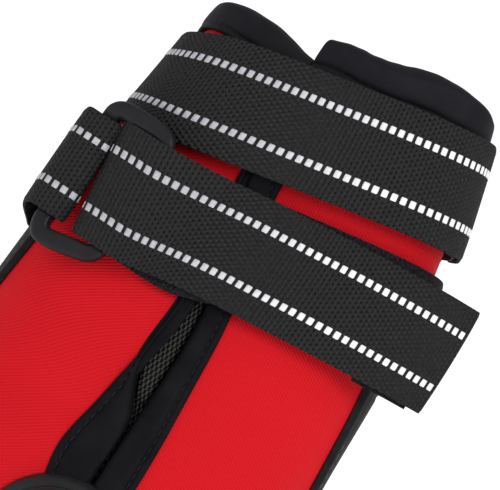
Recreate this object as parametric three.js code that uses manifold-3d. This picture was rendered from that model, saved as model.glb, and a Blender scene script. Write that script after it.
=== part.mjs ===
// A dog's ankle boot: a red soft-shell upper with a bound front split, a woven stretch gusset
// behind it, a cupped rubber sole, a toe bumper, a heel counter, and two webbing straps that
// each double back through a plastic ring. Millimetres, +Z up, toe towards -Y, floor at Z 0.
import * as THREE from "three";
import { mergeVertices } from "three/addons/utils/BufferGeometryUtils.js";
import Module from "manifold-3d";

// Main sizes of the boot.
const footLength = 93; // upper, toe to heel, at its longest
const footWidth = 84; // upper across the ball
const collarHeight = 130; // floor to the front of the collar
const wall = 2; // soft-shell fabric laminated on foam
const fit = 0.3; // clearance between pieces that touch

// Sole.
const soleFloor = 7; // floor to the foot side of the sole plate
const lugDepth = 3;
const cupHeight = 13.5; // top of the sole's side wall
const cupWall = 2;
const toeSpring = 1.6; // rise of the tread under the toe tip
const soleEdge = 1.2; // rounding where the side wall turns under
const foxing = 2.6; // plain lip at the top of the side wall
const foxingStep = 0.45;
const ribPairs = 11;
const ribWidth = 2.4;
const ribRise = 0.6;
const ribFoot = 5; // floor to the bottom of the ribs
const ribHeight = 5.4;
const edgeLugs = 18;
const edgeLugWidth = 7;
const edgeLugLength = 8;
const studWidth = 10;
const studPitch = 13;
const insoleThickness = 3;

// Overlays on the upper.
const bumperThickness = 1; // field of the toe bumper
const bumperRim = 2.2; // width of its raised rim
const bumperRimRise = 1; // rim above the field
const bumperRadius = 14.8; // round top of the toe bumper, front view
const bumperTop = 34.6;
const bumperFoot = 27; // half width of the bumper where it meets the sole
const counterThickness = 1;
const counterFront = 15; // how far ahead of the origin the counter's front edge runs
const counterTop = 72;
const bindingThickness = 0.9;
const collarBindingHeight = 6.3;
const gussetThickness = 1;
const gussetWidth = 24;

// Webbing and rings.
const webbingWidth = 25;
const webbingThickness = 1.2;
const plyGap = 0.35; // air between two plies of one strap
const strapLift = 1.6; // under side of a strap above the upper, over its bindings and counter
const hookThickness = 0.7;
const hookDrop = 1; // how far the hook patch shows below the strap
const hookShort = 3.5; // and how far it stops short of its end
const ringBar = 4; // bar width, seen from outside
const ringThickness = 3.2;
const ringOpening = 11; // inside, along the strap
const ringBulge = 1.4; // how far the end bars bow outwards
const freeEnd = 26; // strap end standing clear of the boot's side

// The last, from the sole up. height and rake are shares of collarHeight (rake is how much lower
// the back of the section lies), toe and heel shares of footLength, width and shift (how far the
// section lies towards +X) shares of footWidth, and square is the section's superellipse
// exponent, where 2 is an ellipse.
const SECTIONS = [
  { height: 0.038, toe: 0.478, heel: 0.458, width: 0.93, shift: 0, square: 2.35, rake: 0 },
  { height: 0.1, toe: 0.51, heel: 0.478, width: 0.981, shift: 0, square: 2.35, rake: 0 },
  { height: 0.185, toe: 0.517, heel: 0.483, width: 1, shift: 0, square: 2.4, rake: 0 },
  { height: 0.262, toe: 0.49, heel: 0.479, width: 1, shift: 0.001, square: 2.45, rake: 0 },
  { height: 0.338, toe: 0.436, heel: 0.468, width: 0.993, shift: 0.002, square: 2.55, rake: 0.002 },
  { height: 0.423, toe: 0.371, heel: 0.456, width: 0.98, shift: 0.003, square: 2.65, rake: 0.006 },
  { height: 0.515, toe: 0.307, heel: 0.443, width: 0.965, shift: 0.006, square: 2.8, rake: 0.016 },
  { height: 0.615, toe: 0.243, heel: 0.43, width: 0.943, shift: 0.011, square: 2.95, rake: 0.035 },
  { height: 0.715, toe: 0.189, heel: 0.415, width: 0.911, shift: 0.017, square: 3.05, rake: 0.058 },
  { height: 0.815, toe: 0.145, heel: 0.398, width: 0.868, shift: 0.02, square: 3.1, rake: 0.083 },
  { height: 0.908, toe: 0.111, heel: 0.382, width: 0.817, shift: 0.015, square: 3.1, rake: 0.106 },
  { height: 1, toe: 0.081, heel: 0.365, width: 0.765, shift: 0.005, square: 3.1, rake: 0.125 },
];

const BALL_SKEW = 0.035; // front of the foot wider than the heel, fading out up the shaft

// Rows of hexagonal studs in the tread, toe to heel, placed as shares of footLength.
const studRows = [
  { place: -0.31, studs: 3 },
  { place: -0.165, studs: 4 },
  { place: -0.02, studs: 3 },
  { place: 0.125, studs: 4 },
  { place: 0.27, studs: 3 },
];

// The collar's edge: angle from the front centre through the side at +X, rise as a share of
// collarHeight. The panel at +X stands higher at the split than the one at -X.
const SEAM = -7.2; // angle of the split at the collar
const RIM = [
  { angle: -10, rise: 0.015 },
  { angle: 0, rise: 0.032 },
  { angle: 20, rise: 0.062 },
  { angle: 52, rise: 0.088 },
  { angle: 75, rise: 0.09 },
  { angle: 110, rise: 0.06 },
  { angle: 187, rise: 0.005 },
  { angle: 265, rise: -0.008 },
  { angle: 289, rise: 0.008 },
  { angle: 331, rise: -0.004 },
  { angle: 352, rise: -0.025 },
  { angle: 360, rise: -0.03 },
];

// The front split: height is a share of collarHeight, the rest are shares of footWidth from the
// middle to the bindings' outer and inner edges.
const SPLIT = [
  { height: 0.215, leftOut: -0.095, leftIn: -0.004, rightIn: 0.004, rightOut: 0.099 },
  { height: 0.3, leftOut: -0.122, leftIn: -0.003, rightIn: 0.004, rightOut: 0.099 },
  { height: 0.385, leftOut: -0.102, leftIn: 0, rightIn: 0.006, rightOut: 0.095 },
  { height: 0.455, leftOut: -0.072, leftIn: -0.03, rightIn: 0.01, rightOut: 0.087 },
  { height: 0.575, leftOut: -0.06, leftIn: -0.043, rightIn: 0.002, rightOut: 0.071 },
  { height: 0.78, leftOut: -0.106, leftIn: -0.089, rightIn: -0.083, rightOut: 0.003 },
  { height: 1.09, leftOut: -0.118, leftIn: -0.101, rightIn: -0.095, rightOut: -0.006 },
];

// Straps: height of the front middle as a share of collarHeight, slope across the boot and fall
// towards the back in degrees, droop of the outer ply away from the middle, climb of the under
// ply across the front, and the angles where the ring's near bar lies, where the loop of its far
// bar meets the upper, and where the outer ply ends or leaves the upper.
const LOWER = {
  height: 0.676,
  slope: 0.1,
  fall: 20,
  droop: 0.033,
  climb: 0.07,
  way: 1,
  ringAngle: -25,
  ringTurn: 20,
  ringLean: 2,
  loopAngle: -83,
  overEnd: 36,
};
const UPPER = {
  height: 0.893,
  slope: 0.2,
  fall: 17,
  droop: 0,
  climb: 0,
  way: -1,
  ringAngle: 126,
  ringTurn: 33,
  ringLean: 0,
  loopAngle: 166,
  overEnd: -128,
};

const SEGMENTS = 32;
const STEP = 360 / SEGMENTS;
const SEAM_GAP = 0.8; // degrees each side of the split where the collar steps

const rad = THREE.MathUtils.degToRad;
const wasm = await Module();
wasm.setup();

// Value of a table at a position, by straight lines between its rows.
function lookUp(table, key, at, column) {
  const last = table.length - 1;
  const next = Math.max(1, table.findIndex((row, i) => i === last || row[key] >= at));
  const a = table[next - 1];
  const b = table[next];
  const share = (at - a[key]) / (b[key] - a[key]);
  return a[column] + (b[column] - a[column]) * share;
}

// The sections with more rows between them low down, on smooth curves through them.
function smoothSections() {
  const columns = ["height", "toe", "heel", "width", "shift", "square", "rake"];
  const fineBelow = 0.3;
  const levels = [];
  for (let i = 0; i < SECTIONS.length - 1; i++) {
    const between = SECTIONS[i].height < fineBelow ? 2 : 1;
    for (let k = 0; k < between; k++) {
      const row = {};
      for (const column of columns) {
        const [p, q, r, s] = [i - 1, i, i + 1, i + 2].map(
          (n) => SECTIONS[THREE.MathUtils.clamp(n, 0, SECTIONS.length - 1)][column],
        );
        const u = k / between;
        row[column] = q + 0.5 * u * (r - p + u * (2 * p - 5 * q + 4 * r - s + u * (3 * (q - r) + s - p)));
      }
      levels.push(row);
    }
  }
  levels.push(SECTIONS[SECTIONS.length - 1]);
  return levels;
}
const LEVELS = smoothSections();
const COLLAR_LEVEL = LEVELS.length - 1;

// Angles round the upper, with a pair close to the split.
function roundAngles() {
  const angles = [SEAM + SEAM_GAP];
  for (let k = 1; k < SEGMENTS; k++) angles.push(SEAM + k * STEP);
  angles.push(SEAM + 360 - SEAM_GAP);
  return angles;
}
const ANGLES = roundAngles();

function signedPower(value, power) {
  return Math.sign(value) * Math.abs(value) ** power;
}

// A point of one section, offset outwards.
function sectionPoint(row, angle, offset) {
  const c = Math.cos(rad(angle));
  const s = Math.sin(rad(angle));
  const toe = -row.toe * footLength;
  const heel = row.heel * footLength;
  const middle = (toe + heel) / 2;
  const skew = 1 + BALL_SKEW * c * THREE.MathUtils.clamp(1 - row.height, 0, 1);
  const across = ((row.width * footWidth) / 2 + offset) * signedPower(s, 2 / row.square) * skew;
  const x = row.shift * footWidth + across;
  const y = middle - ((heel - toe) / 2 + offset) * signedPower(c, 2 / row.square);
  const z = collarHeight * (row.height - (row.rake * (1 - c)) / 2);
  return new THREE.Vector3(x, y, z);
}

// A point of the last's surface at a level, which may lie between two levels or past the ends.
function surfacePoint(level, angle, offset) {
  const low = THREE.MathUtils.clamp(Math.floor(level), 0, COLLAR_LEVEL - 1);
  const a = sectionPoint(LEVELS[low], angle, offset);
  const b = sectionPoint(LEVELS[low + 1], angle, offset);
  return a.lerp(b, level - low);
}

// The level where a measure of the surface point reaches a value, at one angle.
function levelWhere(measure, value, angle, offset) {
  let low = -2;
  let high = COLLAR_LEVEL + 3;
  for (let i = 0; i < 40; i++) {
    const middle = (low + high) / 2;
    if (measure(surfacePoint(middle, angle, offset)) < value) low = middle;
    else high = middle;
  }
  return (low + high) / 2;
}

const heightOf = (point) => point.z;

// Height of the collar's edge. The angles run from one side of the split round to the other.
function rimHeight(angle) {
  const rise = lookUp(RIM, "angle", angle, "rise");
  return surfacePoint(COLLAR_LEVEL, angle, 0).z + rise * collarHeight;
}

function solidOf(geometry) {
  const bare = geometry.clone();
  bare.deleteAttribute("normal");
  bare.deleteAttribute("uv");
  const merged = mergeVertices(bare, 1e-4);
  const triVerts = new Uint32Array(merged.index.array);
  const mesh = new wasm.Mesh({ numProp: 3, vertProperties: merged.attributes.position.array, triVerts });
  return new wasm.Manifold(mesh);
}

// A geometry from points and triangles, turned so that its faces point outwards.
function closedGeometry(points, triangles) {
  const geometry = new THREE.BufferGeometry();
  const coordinates = points.flatMap((p) => [p.x, p.y, p.z]);
  geometry.setAttribute("position", new THREE.Float32BufferAttribute(coordinates, 3));
  let volume = 0;
  for (let i = 0; i < triangles.length; i += 3) {
    const [a, b, c] = [0, 1, 2].map((k) => points[triangles[i + k]]);
    volume += a.dot(new THREE.Vector3().crossVectors(b, c));
  }
  if (volume < 0) {
    for (let i = 0; i < triangles.length; i += 3) {
      [triangles[i + 1], triangles[i + 2]] = [triangles[i + 2], triangles[i + 1]];
    }
  }
  geometry.setIndex(triangles);
  return geometry;
}

// A solid lofted through closed rings of equal length, with a fan on each end.
function loft(rings) {
  const count = rings[0].length;
  const points = rings.flat();
  const triangles = [];
  for (let r = 0; r < rings.length - 1; r++) {
    for (let i = 0; i < count; i++) {
      const j = (i + 1) % count;
      const [a, b, c, d] = [r * count + i, r * count + j, (r + 1) * count + j, (r + 1) * count + i];
      triangles.push(a, b, c, a, c, d);
    }
  }
  for (const [ring, flip] of [[0, true], [rings.length - 1, false]]) {
    const centre = rings[ring].reduce((sum, p) => sum.add(p), new THREE.Vector3()).divideScalar(count);
    points.push(centre);
    for (let i = 0; i < count; i++) {
      const j = (i + 1) % count;
      const pair = flip ? [ring * count + j, ring * count + i] : [ring * count + i, ring * count + j];
      triangles.push(points.length - 1, ...pair);
    }
  }
  return solidOf(closedGeometry(points, triangles));
}

// The last as a solid, offset outwards, between two heights that may depend on the angle.
function form(offset, lowHeight, highHeight) {
  const lows = ANGLES.map((angle) => levelWhere(heightOf, lowHeight(angle), angle, offset));
  const highs = ANGLES.map((angle) => levelWhere(heightOf, highHeight(angle), angle, offset));
  const low = Math.max(...lows);
  const high = Math.min(...highs);
  const inner = LEVELS.map((row, i) => i).filter((i) => i > low + 0.2 && i < high - 0.2);
  const rings = [ANGLES.map((angle, i) => surfacePoint(lows[i], angle, offset))];
  for (const level of inner) rings.push(ANGLES.map((angle) => surfacePoint(level, angle, offset)));
  rings.push(ANGLES.map((angle, i) => surfacePoint(highs[i], angle, offset)));
  return loft(rings);
}

// A prism of an outline in the front view (x, z) from one y to another.
function frontPrism(outline, fromY, toY) {
  const shape = new THREE.Shape(outline.map(([x, z]) => new THREE.Vector2(x, z)));
  const geometry = new THREE.ExtrudeGeometry(shape, { depth: toY - fromY, bevelEnabled: false });
  geometry.rotateX(Math.PI / 2);
  geometry.translate(0, toY, 0);
  return solidOf(geometry);
}

// A prism of an outline in the side view (y, z) across the whole boot.
function sidePrism(outline) {
  const shape = new THREE.Shape(outline.map(([y, z]) => new THREE.Vector2(y, z)));
  const geometry = new THREE.ExtrudeGeometry(shape, { depth: 2 * footWidth, bevelEnabled: false });
  geometry.applyMatrix4(new THREE.Matrix4().set(0, 0, 1, -footWidth, 1, 0, 0, 0, 0, 1, 0, 0, 0, 0, 0, 1));
  return solidOf(geometry);
}

const materials = {
  rubber: new THREE.MeshStandardMaterial({ color: 0x1c1d1f, roughness: 0.62, metalness: 0 }),
  softshell: new THREE.MeshStandardMaterial({ color: 0xc8101a, roughness: 0.78, metalness: 0 }),
  binding: new THREE.MeshStandardMaterial({ color: 0x15151a, roughness: 0.7, metalness: 0 }),
  webbing: new THREE.MeshStandardMaterial({ color: 0x17181b, roughness: 0.85, metalness: 0 }),
  gusset: new THREE.MeshStandardMaterial({ color: 0x131314, roughness: 0.8, metalness: 0 }),
  synthetic: new THREE.MeshStandardMaterial({ color: 0x222425, roughness: 0.5, metalness: 0 }),
  plastic: new THREE.MeshStandardMaterial({ color: 0x1e1f22, roughness: 0.42, metalness: 0 }),
  lining: new THREE.MeshStandardMaterial({ color: 0x2a2a2c, roughness: 0.9, metalness: 0 }),
};

const boot = new THREE.Group();

// Adds a named mesh from a manifold solid or a geometry.
function add(name, shape, material) {
  let geometry = shape;
  if (!shape.isBufferGeometry) {
    const { vertProperties, triVerts, numProp } = shape.getMesh();
    const positions = new Float32Array((vertProperties.length / numProp) * 3);
    for (let i = 0; i < positions.length / 3; i++) {
      positions.set(vertProperties.subarray(i * numProp, i * numProp + 3), 3 * i);
    }
    geometry = new THREE.BufferGeometry();
    geometry.setAttribute("position", new THREE.BufferAttribute(positions, 3));
    geometry.setIndex(new THREE.BufferAttribute(new Uint32Array(triVerts), 1));
  }
  geometry.computeVertexNormals();
  const mesh = new THREE.Mesh(geometry, material);
  mesh.name = name;
  boot.add(mesh);
}

// Outsole: a moulded cup with a tread of lugs, ribs on its side wall and a sprung toe.
const treadTop = lugDepth;
const toeStart = -0.24 * footLength; // where the toe spring begins
const toeTip = -SECTIONS[2].toe * footLength;
const springAt = (y) => toeSpring * THREE.MathUtils.clamp((y - toeStart) / (toeTip - toeStart), 0, 1) ** 2;

function cupRing(height, offset) {
  return ANGLES.map((angle) => {
    const point = surfacePoint(levelWhere(heightOf, height, angle, offset), angle, offset);
    const share = THREE.MathUtils.clamp((soleFloor - height) / (soleFloor - treadTop), 0, 1);
    point.z += springAt(point.y) * share;
    return point;
  });
}

function lug(width, length, x, y, turn) {
  const block = new THREE.BoxGeometry(width, length, lugDepth + 1);
  block.rotateZ(turn);
  block.translate(x, y, (lugDepth + 1) / 2 + springAt(y));
  return solidOf(block);
}

// Ribs on the side wall: slabs right across the boot, cut to a form a little larger than the wall.
function sideRibs(edge) {
  const band = form(edge + ribRise, () => ribFoot, () => ribFoot + ribHeight);
  const slabs = [];
  for (let i = 0; i < ribPairs; i++) {
    const slab = new THREE.BoxGeometry(ribWidth, 2 * footLength, 2 * cupHeight);
    slab.rotateZ((Math.PI * (i + 0.5)) / ribPairs);
    slabs.push(solidOf(slab));
  }
  return band.intersect(wasm.Manifold.union(slabs));
}

function treadLugs(edge) {
  const lugs = [];
  for (let i = 0; i < edgeLugs; i++) {
    const angle = (360 * (i + 0.5)) / edgeLugs;
    const level = levelWhere(heightOf, treadTop, angle, 0);
    const point = surfacePoint(level, angle, edge - soleEdge - 1 - edgeLugLength / 2);
    lugs.push(lug(edgeLugWidth, edgeLugLength, point.x, point.y, Math.atan2(point.x, -point.y)));
  }
  studRows.forEach(({ place, studs }) => {
    for (let i = 0; i < studs; i++) {
      const stud = new THREE.CylinderGeometry(studWidth / 2, studWidth / 2, lugDepth + 1, 6);
      stud.rotateY(Math.PI / 6);
      stud.rotateX(Math.PI / 2);
      stud.translate((i - (studs - 1) / 2) * studPitch, place * footLength, (lugDepth + 1) / 2);
      lugs.push(solidOf(stud));
    }
  });
  return lugs;
}

function outsole() {
  const edge = cupWall + fit;
  const cup = loft([
    cupRing(treadTop, edge - soleEdge - 1),
    cupRing(treadTop + soleEdge / 2, edge - soleEdge / 3),
    cupRing(treadTop + 1.5 * soleEdge, edge),
    cupRing(cupHeight - foxing, edge),
    cupRing(cupHeight - foxing + foxingStep, edge - foxingStep),
    cupRing(cupHeight, edge - foxingStep - 0.2),
  ]);
  const hollow = form(fit, () => soleFloor, () => cupHeight + 5);
  return cup.add(sideRibs(edge)).subtract(hollow).add(wasm.Manifold.union(treadLugs(edge)));
}
add("outsole", outsole(), materials.rubber);

// Insole: a flat foam board inside the upper.
const inside = -wall - fit;
const insoleTop = soleFloor + fit + insoleThickness;
add("insole", form(inside, () => soleFloor + fit, () => insoleTop), materials.lining);

// The split's outline between two columns of its table, opened by a margin on each side.
function splitOutline(leftColumn, rightColumn, margin) {
  const left = SPLIT.map((row) => [row[leftColumn] * footWidth - margin, row.height * collarHeight]);
  const right = SPLIT.map((row) => [row[rightColumn] * footWidth + margin, row.height * collarHeight]);
  return [...left, ...right.reverse()];
}
const shaftMiddle = 0.1 * footLength;
const frontCut = (outline) => frontPrism(outline, -footLength, shaftMiddle);

// Upper: one wall over the last, open underneath, at the collar and along the split.
const above = (rise) => (angle) => rimHeight(angle) + rise;
const turnIn = bindingThickness + fit;

function upper() {
  const outer = form(0, () => soleFloor + fit, above(0));
  const hollow = form(-wall, () => soleFloor - fit, above(wall));
  const slit = frontCut(splitOutline("leftIn", "rightIn", turnIn));
  return outer.subtract(hollow).subtract(slit);
}
add("upper", upper(), materials.softshell);

// Heel counter: a sheet over the back of the upper, up to the lower strap.
function heelCounter() {
  const low = cupHeight + fit;
  const under = form(fit, () => low - 1, () => counterTop + 14);
  const sheet = form(fit + counterThickness, () => low, () => counterTop + 12).subtract(under);
  return sheet.intersect(
    sidePrism([
      [-counterFront - 5, low - 1],
      [-counterFront - 1, 0.22 * collarHeight],
      [-counterFront, 0.36 * collarHeight],
      [-counterFront + 3, counterTop],
      [footLength * 0.2, counterTop],
      [footLength, counterTop - 14],
      [footLength, low - 1],
    ]),
  );
}
add("heel_counter", heelCounter(), materials.synthetic);

// Toe bumper: a rubber tongue up the front of the toe, with a raised rim round its field.
function bumperOutline(inset) {
  const radius = bumperRadius - inset;
  const centre = bumperTop - bumperRadius;
  const steps = 8;
  const outline = [];
  const shoulder = 78; // degrees from the top where the arc turns into the flank
  for (let i = -steps; i <= steps; i++) {
    const angle = rad((shoulder * i) / steps);
    outline.push([radius * Math.sin(angle), centre + radius * Math.cos(angle)]);
  }
  const foot = bumperFoot - inset;
  return [[-foot, 0], [-foot, cupHeight + 1], ...outline, [foot, cupHeight + 1], [foot, 0]];
}

function toeBumper() {
  const low = cupHeight + fit;
  const top = () => bumperTop + 12;
  const under = form(fit, () => low - 1, top);
  const field = form(fit + bumperThickness, () => low, top).intersect(frontCut(bumperOutline(0)));
  const rimBand = frontCut(bumperOutline(0)).subtract(frontCut(bumperOutline(bumperRim)));
  const rim = form(fit + bumperThickness + bumperRimRise, () => low, top).intersect(rimBand);
  return field.add(rim).subtract(under);
}
const bumper = toeBumper();

// Bindings: stretch tape folded over the cut edge of the upper, outside and inside.
const foldOut = fit + bindingThickness;
const foldIn = inside - bindingThickness;

const edgeTrim = 4; // how far a cutting form runs past what it cuts
const splitFoot = SPLIT[0].height * collarHeight;

function edgeFold(low, high) {
  const hollow = form(foldIn, (angle) => low(angle) - edgeTrim, (angle) => high(angle) + edgeTrim);
  return form(foldOut, low, high).subtract(hollow);
}

// One side's tape: the fold between two columns of the split's table, less the room for the
// upper's wall inside the fold and for the toe bumper below it.
function splitBinding(leftColumn, rightColumn, edgeColumn, side) {
  const fold = edgeFold(() => splitFoot, above(-collarBindingHeight - fit));
  const tape = fold.intersect(frontCut(splitOutline(leftColumn, rightColumn, 0)));
  const core = form(inside, () => -edgeTrim, above(2 * edgeTrim));
  const room = form(fit, () => 0, above(edgeTrim)).subtract(core);
  const far = 0.5 * footWidth * side;
  const tuck = side * bindingThickness;
  const edge = SPLIT.map((row) => [row[edgeColumn] * footWidth + tuck, row.height * collarHeight]);
  edge[0][1] = 0;
  const cover = [...edge, [far, edge[edge.length - 1][1]], [far, 0]];
  const clear = 2 * fit + bumperThickness + bumperRimRise;
  const toe = form(clear, () => cupHeight, () => bumperTop + bumperRadius);
  const bare = tape.subtract(room.intersect(frontCut(cover)));
  return bare.subtract(toe.intersect(frontCut(bumperOutline(-fit))));
}
add("split_binding_left", splitBinding("leftOut", "leftIn", "leftIn", -1), materials.binding);
add("split_binding_right", splitBinding("rightIn", "rightOut", "rightIn", 1), materials.binding);
add("toe_bumper", bumper, materials.rubber);

function collarBinding() {
  const fold = edgeFold(above(-collarBindingHeight), above(foldOut));
  const below = above(-collarBindingHeight - edgeTrim);
  const room = form(fit, below, above(fit)).subtract(form(inside, below, above(edgeTrim)));
  const gap = frontCut(splitOutline("leftIn", "rightIn", 0));
  return fold.subtract(room).subtract(gap);
}
add("collar_binding", collarBinding(), materials.binding);

// Gusset: woven stretch tape behind the split.
function gusset() {
  const outer = foldIn - fit;
  const sheet = form(outer, () => splitFoot, above(-collarBindingHeight)).subtract(
    form(outer - gussetThickness, () => splitFoot - edgeTrim, above(0)),
  );
  const half = gussetWidth / 2;
  const lean = lookUp(SPLIT, "height", 1, "leftIn") * footWidth;
  return sheet.intersect(
    frontCut([[-half, 0], [-half, 0.5 * collarHeight], [-half + lean, 1.1 * collarHeight],
      [half + lean, 1.1 * collarHeight], [half, 0.5 * collarHeight], [half, 0]]),
  );
}
add("gusset", gusset(), materials.gusset);

// A sheet of even thickness about a grid of points, as a closed geometry.
function sheetGeometry(grid, thickness) {
  const [long, across] = [grid.length, grid[0].length];
  const sides = [0.5, -0.5].map((share) =>
    grid.map((row, i) =>
      row.map((point, j) => {
        const along = grid[Math.min(i + 1, long - 1)][j].clone().sub(grid[Math.max(i - 1, 0)][j]);
        const over = row[Math.min(j + 1, across - 1)].clone().sub(row[Math.max(j - 1, 0)]);
        return point.clone().addScaledVector(along.cross(over).normalize(), share * thickness);
      }),
    ),
  );
  const points = sides.flat(2);
  const at = (side, i, j) => (side * long + i) * across + j;
  const triangles = [];
  const quad = (a, b, c, d) => triangles.push(a, b, c, a, c, d);
  for (let i = 0; i < long - 1; i++) {
    for (let j = 0; j < across - 1; j++) {
      quad(at(0, i, j), at(0, i + 1, j), at(0, i + 1, j + 1), at(0, i, j + 1));
      quad(at(1, i, j), at(1, i, j + 1), at(1, i + 1, j + 1), at(1, i + 1, j));
    }
    quad(at(0, i, 0), at(1, i, 0), at(1, i + 1, 0), at(0, i + 1, 0));
    quad(at(0, i, across - 1), at(0, i + 1, across - 1), at(1, i + 1, across - 1), at(1, i, across - 1));
  }
  for (let j = 0; j < across - 1; j++) {
    quad(at(0, 0, j), at(0, 0, j + 1), at(1, 0, j + 1), at(1, 0, j));
    quad(at(0, long - 1, j), at(1, long - 1, j), at(1, long - 1, j + 1), at(0, long - 1, j + 1));
  }
  return closedGeometry(points, triangles);
}

// The plane that a strap lies in: its origin on the front of the upper and its unit normal.
function strapPlane({ height, slope, fall }) {
  const level = levelWhere(heightOf, height * collarHeight, 0, 0);
  const normal = new THREE.Vector3(-slope, Math.tan(rad(fall)), 1).normalize();
  return { origin: surfacePoint(level, 0, 0), normal };
}

// The point on the upper's surface at an angle, offset outwards, this far above a strap's plane.
function strapPoint(plane, angle, offset, rise) {
  const measure = (point) => point.clone().sub(plane.origin).dot(plane.normal);
  return surfacePoint(levelWhere(measure, rise, angle, offset), angle, offset);
}

// The ring's own axes: u along the strap towards its long end, v up the boot, w outwards.
function ringFrame(strap, plane) {
  const seat = strapLift + webbingThickness + fit + ringThickness / 2;
  const reach = webbingWidth / 2;
  const drop = strap.droop * Math.abs(strapPoint(plane, strap.ringAngle, seat, 0).x);
  const low = strapPoint(plane, strap.ringAngle, seat, -reach - drop);
  const high = strapPoint(plane, strap.ringAngle, seat + strap.ringLean, reach - drop);
  const v = high.clone().sub(low).normalize();
  const turn = rad(strap.ringTurn);
  const u = new THREE.Vector3(Math.cos(turn), -Math.sin(turn), 0);
  u.addScaledVector(v, -u.dot(v)).normalize();
  const w = new THREE.Vector3().crossVectors(u, v).multiplyScalar(strap.way);
  const bar = ringOpening / 2 + ringBar / 2;
  const centre = low.add(high).multiplyScalar(0.5).addScaledVector(u, -bar);
  return { u, v, w, centre, bar };
}

// A bowed rectangular ring, its bars rounded by a bevel.
function ringGeometry(frame, way) {
  const round = ringThickness * 0.3;
  const halfU = frame.bar + ringBar / 2 - round;
  const halfV = (webbingWidth + fit) / 2 + ringBar - round;
  const corner = 3;
  const shape = new THREE.Shape();
  shape.moveTo(-halfU, -halfV + corner + ringBulge);
  shape.lineTo(-halfU, halfV - corner - ringBulge);
  shape.quadraticCurveTo(-halfU, halfV - ringBulge, -halfU + corner, halfV - ringBulge * 0.5);
  shape.quadraticCurveTo(0, halfV + ringBulge * 0.5, halfU - corner, halfV - ringBulge * 0.5);
  shape.quadraticCurveTo(halfU, halfV - ringBulge, halfU, halfV - corner - ringBulge);
  shape.lineTo(halfU, -halfV + corner + ringBulge);
  shape.quadraticCurveTo(halfU, -halfV + ringBulge, halfU - corner, -halfV + ringBulge * 0.5);
  shape.quadraticCurveTo(0, -halfV - ringBulge * 0.5, -halfU + corner, -halfV + ringBulge * 0.5);
  shape.quadraticCurveTo(-halfU, -halfV + ringBulge, -halfU, -halfV + corner + ringBulge);
  const [holeU, holeV] = [ringOpening / 2 + round, (webbingWidth + fit) / 2 + round];
  const hole = [[-holeU, -holeV], [holeU, -holeV], [holeU, holeV], [-holeU, holeV]];
  shape.holes.push(new THREE.Path(hole.map(([x, y]) => new THREE.Vector2(x, y))));
  const geometry = new THREE.ExtrudeGeometry(shape, {
    depth: ringThickness - 2 * round,
    bevelSize: round,
    bevelThickness: round,
    bevelSegments: 2,
    curveSegments: 4,
  });
  geometry.translate(0, 0, round - ringThickness / 2);
  const third = frame.w.clone().multiplyScalar(way);
  geometry.applyMatrix4(new THREE.Matrix4().makeBasis(frame.u, frame.v, third).setPosition(frame.centre));
  return solidOf(geometry);
}

const RISES = [-0.5, 0, 0.5].map((share) => share * webbingWidth);

// Rows of a strap from a list of stations: points on the upper, or points in the ring's frame.
function strapGrid(stations, plane, frame) {
  return stations.map((station) =>
    RISES.map((rise) => {
      if (station.angle !== undefined) {
        const { x } = strapPoint(plane, station.angle, station.offset, 0);
        const moved = rise + station.climb * x - station.droop * Math.abs(x);
        return strapPoint(plane, station.angle, station.offset, moved);
      }
      return frame.centre
        .clone()
        .addScaledVector(frame.u, station.u)
        .addScaledVector(frame.w, station.w)
        .addScaledVector(frame.v, rise);
    }),
  );
}

// Angles of the grid strictly between two others, going round as far as they say.
function anglesBetween(from, to) {
  const turns = [-2, -1, 0, 1, 2].flatMap((turn) => ANGLES.slice(0, -1).map((angle) => angle + 360 * turn));
  const between = turns.filter((angle) => angle > Math.min(from, to) && angle < Math.max(from, to));
  return from < to ? between : between.reverse();
}

const barPass = ringThickness / 2 + fit + webbingThickness / 2; // centre line over a ring bar

// One length of webbing: looped round the ring's far bar, round the back of the boot, through
// the ring from behind, and back over itself.
function strapStations(strap, frame, overLift) {
  const under = strapLift + webbingThickness / 2;
  const underAt = (angle) => ({ angle, offset: under, climb: strap.climb, droop: 0 });
  const over = (angle) => under + webbingThickness + plyGap + overLift(angle);
  const overAt = (angle) => ({ angle, offset: over(angle), climb: 0, droop: strap.droop });
  const nearRing = strap.ringAngle + strap.way * 14;
  const roundTo = nearRing - strap.way * 360;
  const { bar } = frame;
  return [
    { u: -bar - 3.4, w: -barPass + 0.5 },
    { u: -bar, w: -barPass },
    { u: -bar + 2, w: -barPass + 0.2 },
    { u: -4.2, w: -1.4 },
    { u: -3.7, w: 0 },
    { u: -4.2, w: 1.4 },
    { u: -bar + 2, w: barPass - 0.2 },
    { u: -bar, w: barPass },
    { u: -bar - 1.4, w: barPass },
    { u: -bar - 4, w: barPass - 1.1 },
    ...anglesBetween(strap.loopAngle, roundTo).map(underAt),
    { u: bar + 1, w: -barPass },
    { u: bar - 3.4, w: -barPass + 0.2 },
    { u: 1.6, w: -1.9 },
    { u: 0.3, w: -1 },
    { u: -0.1, w: 0 },
    { u: 0.3, w: 1 },
    { u: 1.6, w: 1.9 },
    { u: bar - 3.4, w: barPass - 0.2 },
    { u: bar, w: barPass },
    { u: bar + 3.4, w: barPass - 0.2 },
    ...anglesBetween(nearRing, strap.overEnd).map(overAt),
  ];
}

// Carries a strap's grid on from its last rows, in the strap's plane, turning back a little.
function runOn(grid, plane, length, steps, turnBack) {
  const [before, last] = grid.slice(-2);
  const along = last[1].clone().sub(before[1]).projectOnPlane(plane.normal).normalize();
  for (let k = 1; k <= steps; k++) {
    const way = along.clone().applyAxisAngle(plane.normal, rad(turnBack * k));
    grid.push(last.map((point) => point.clone().addScaledVector(way, (length * k) / steps)));
  }
}

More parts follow.
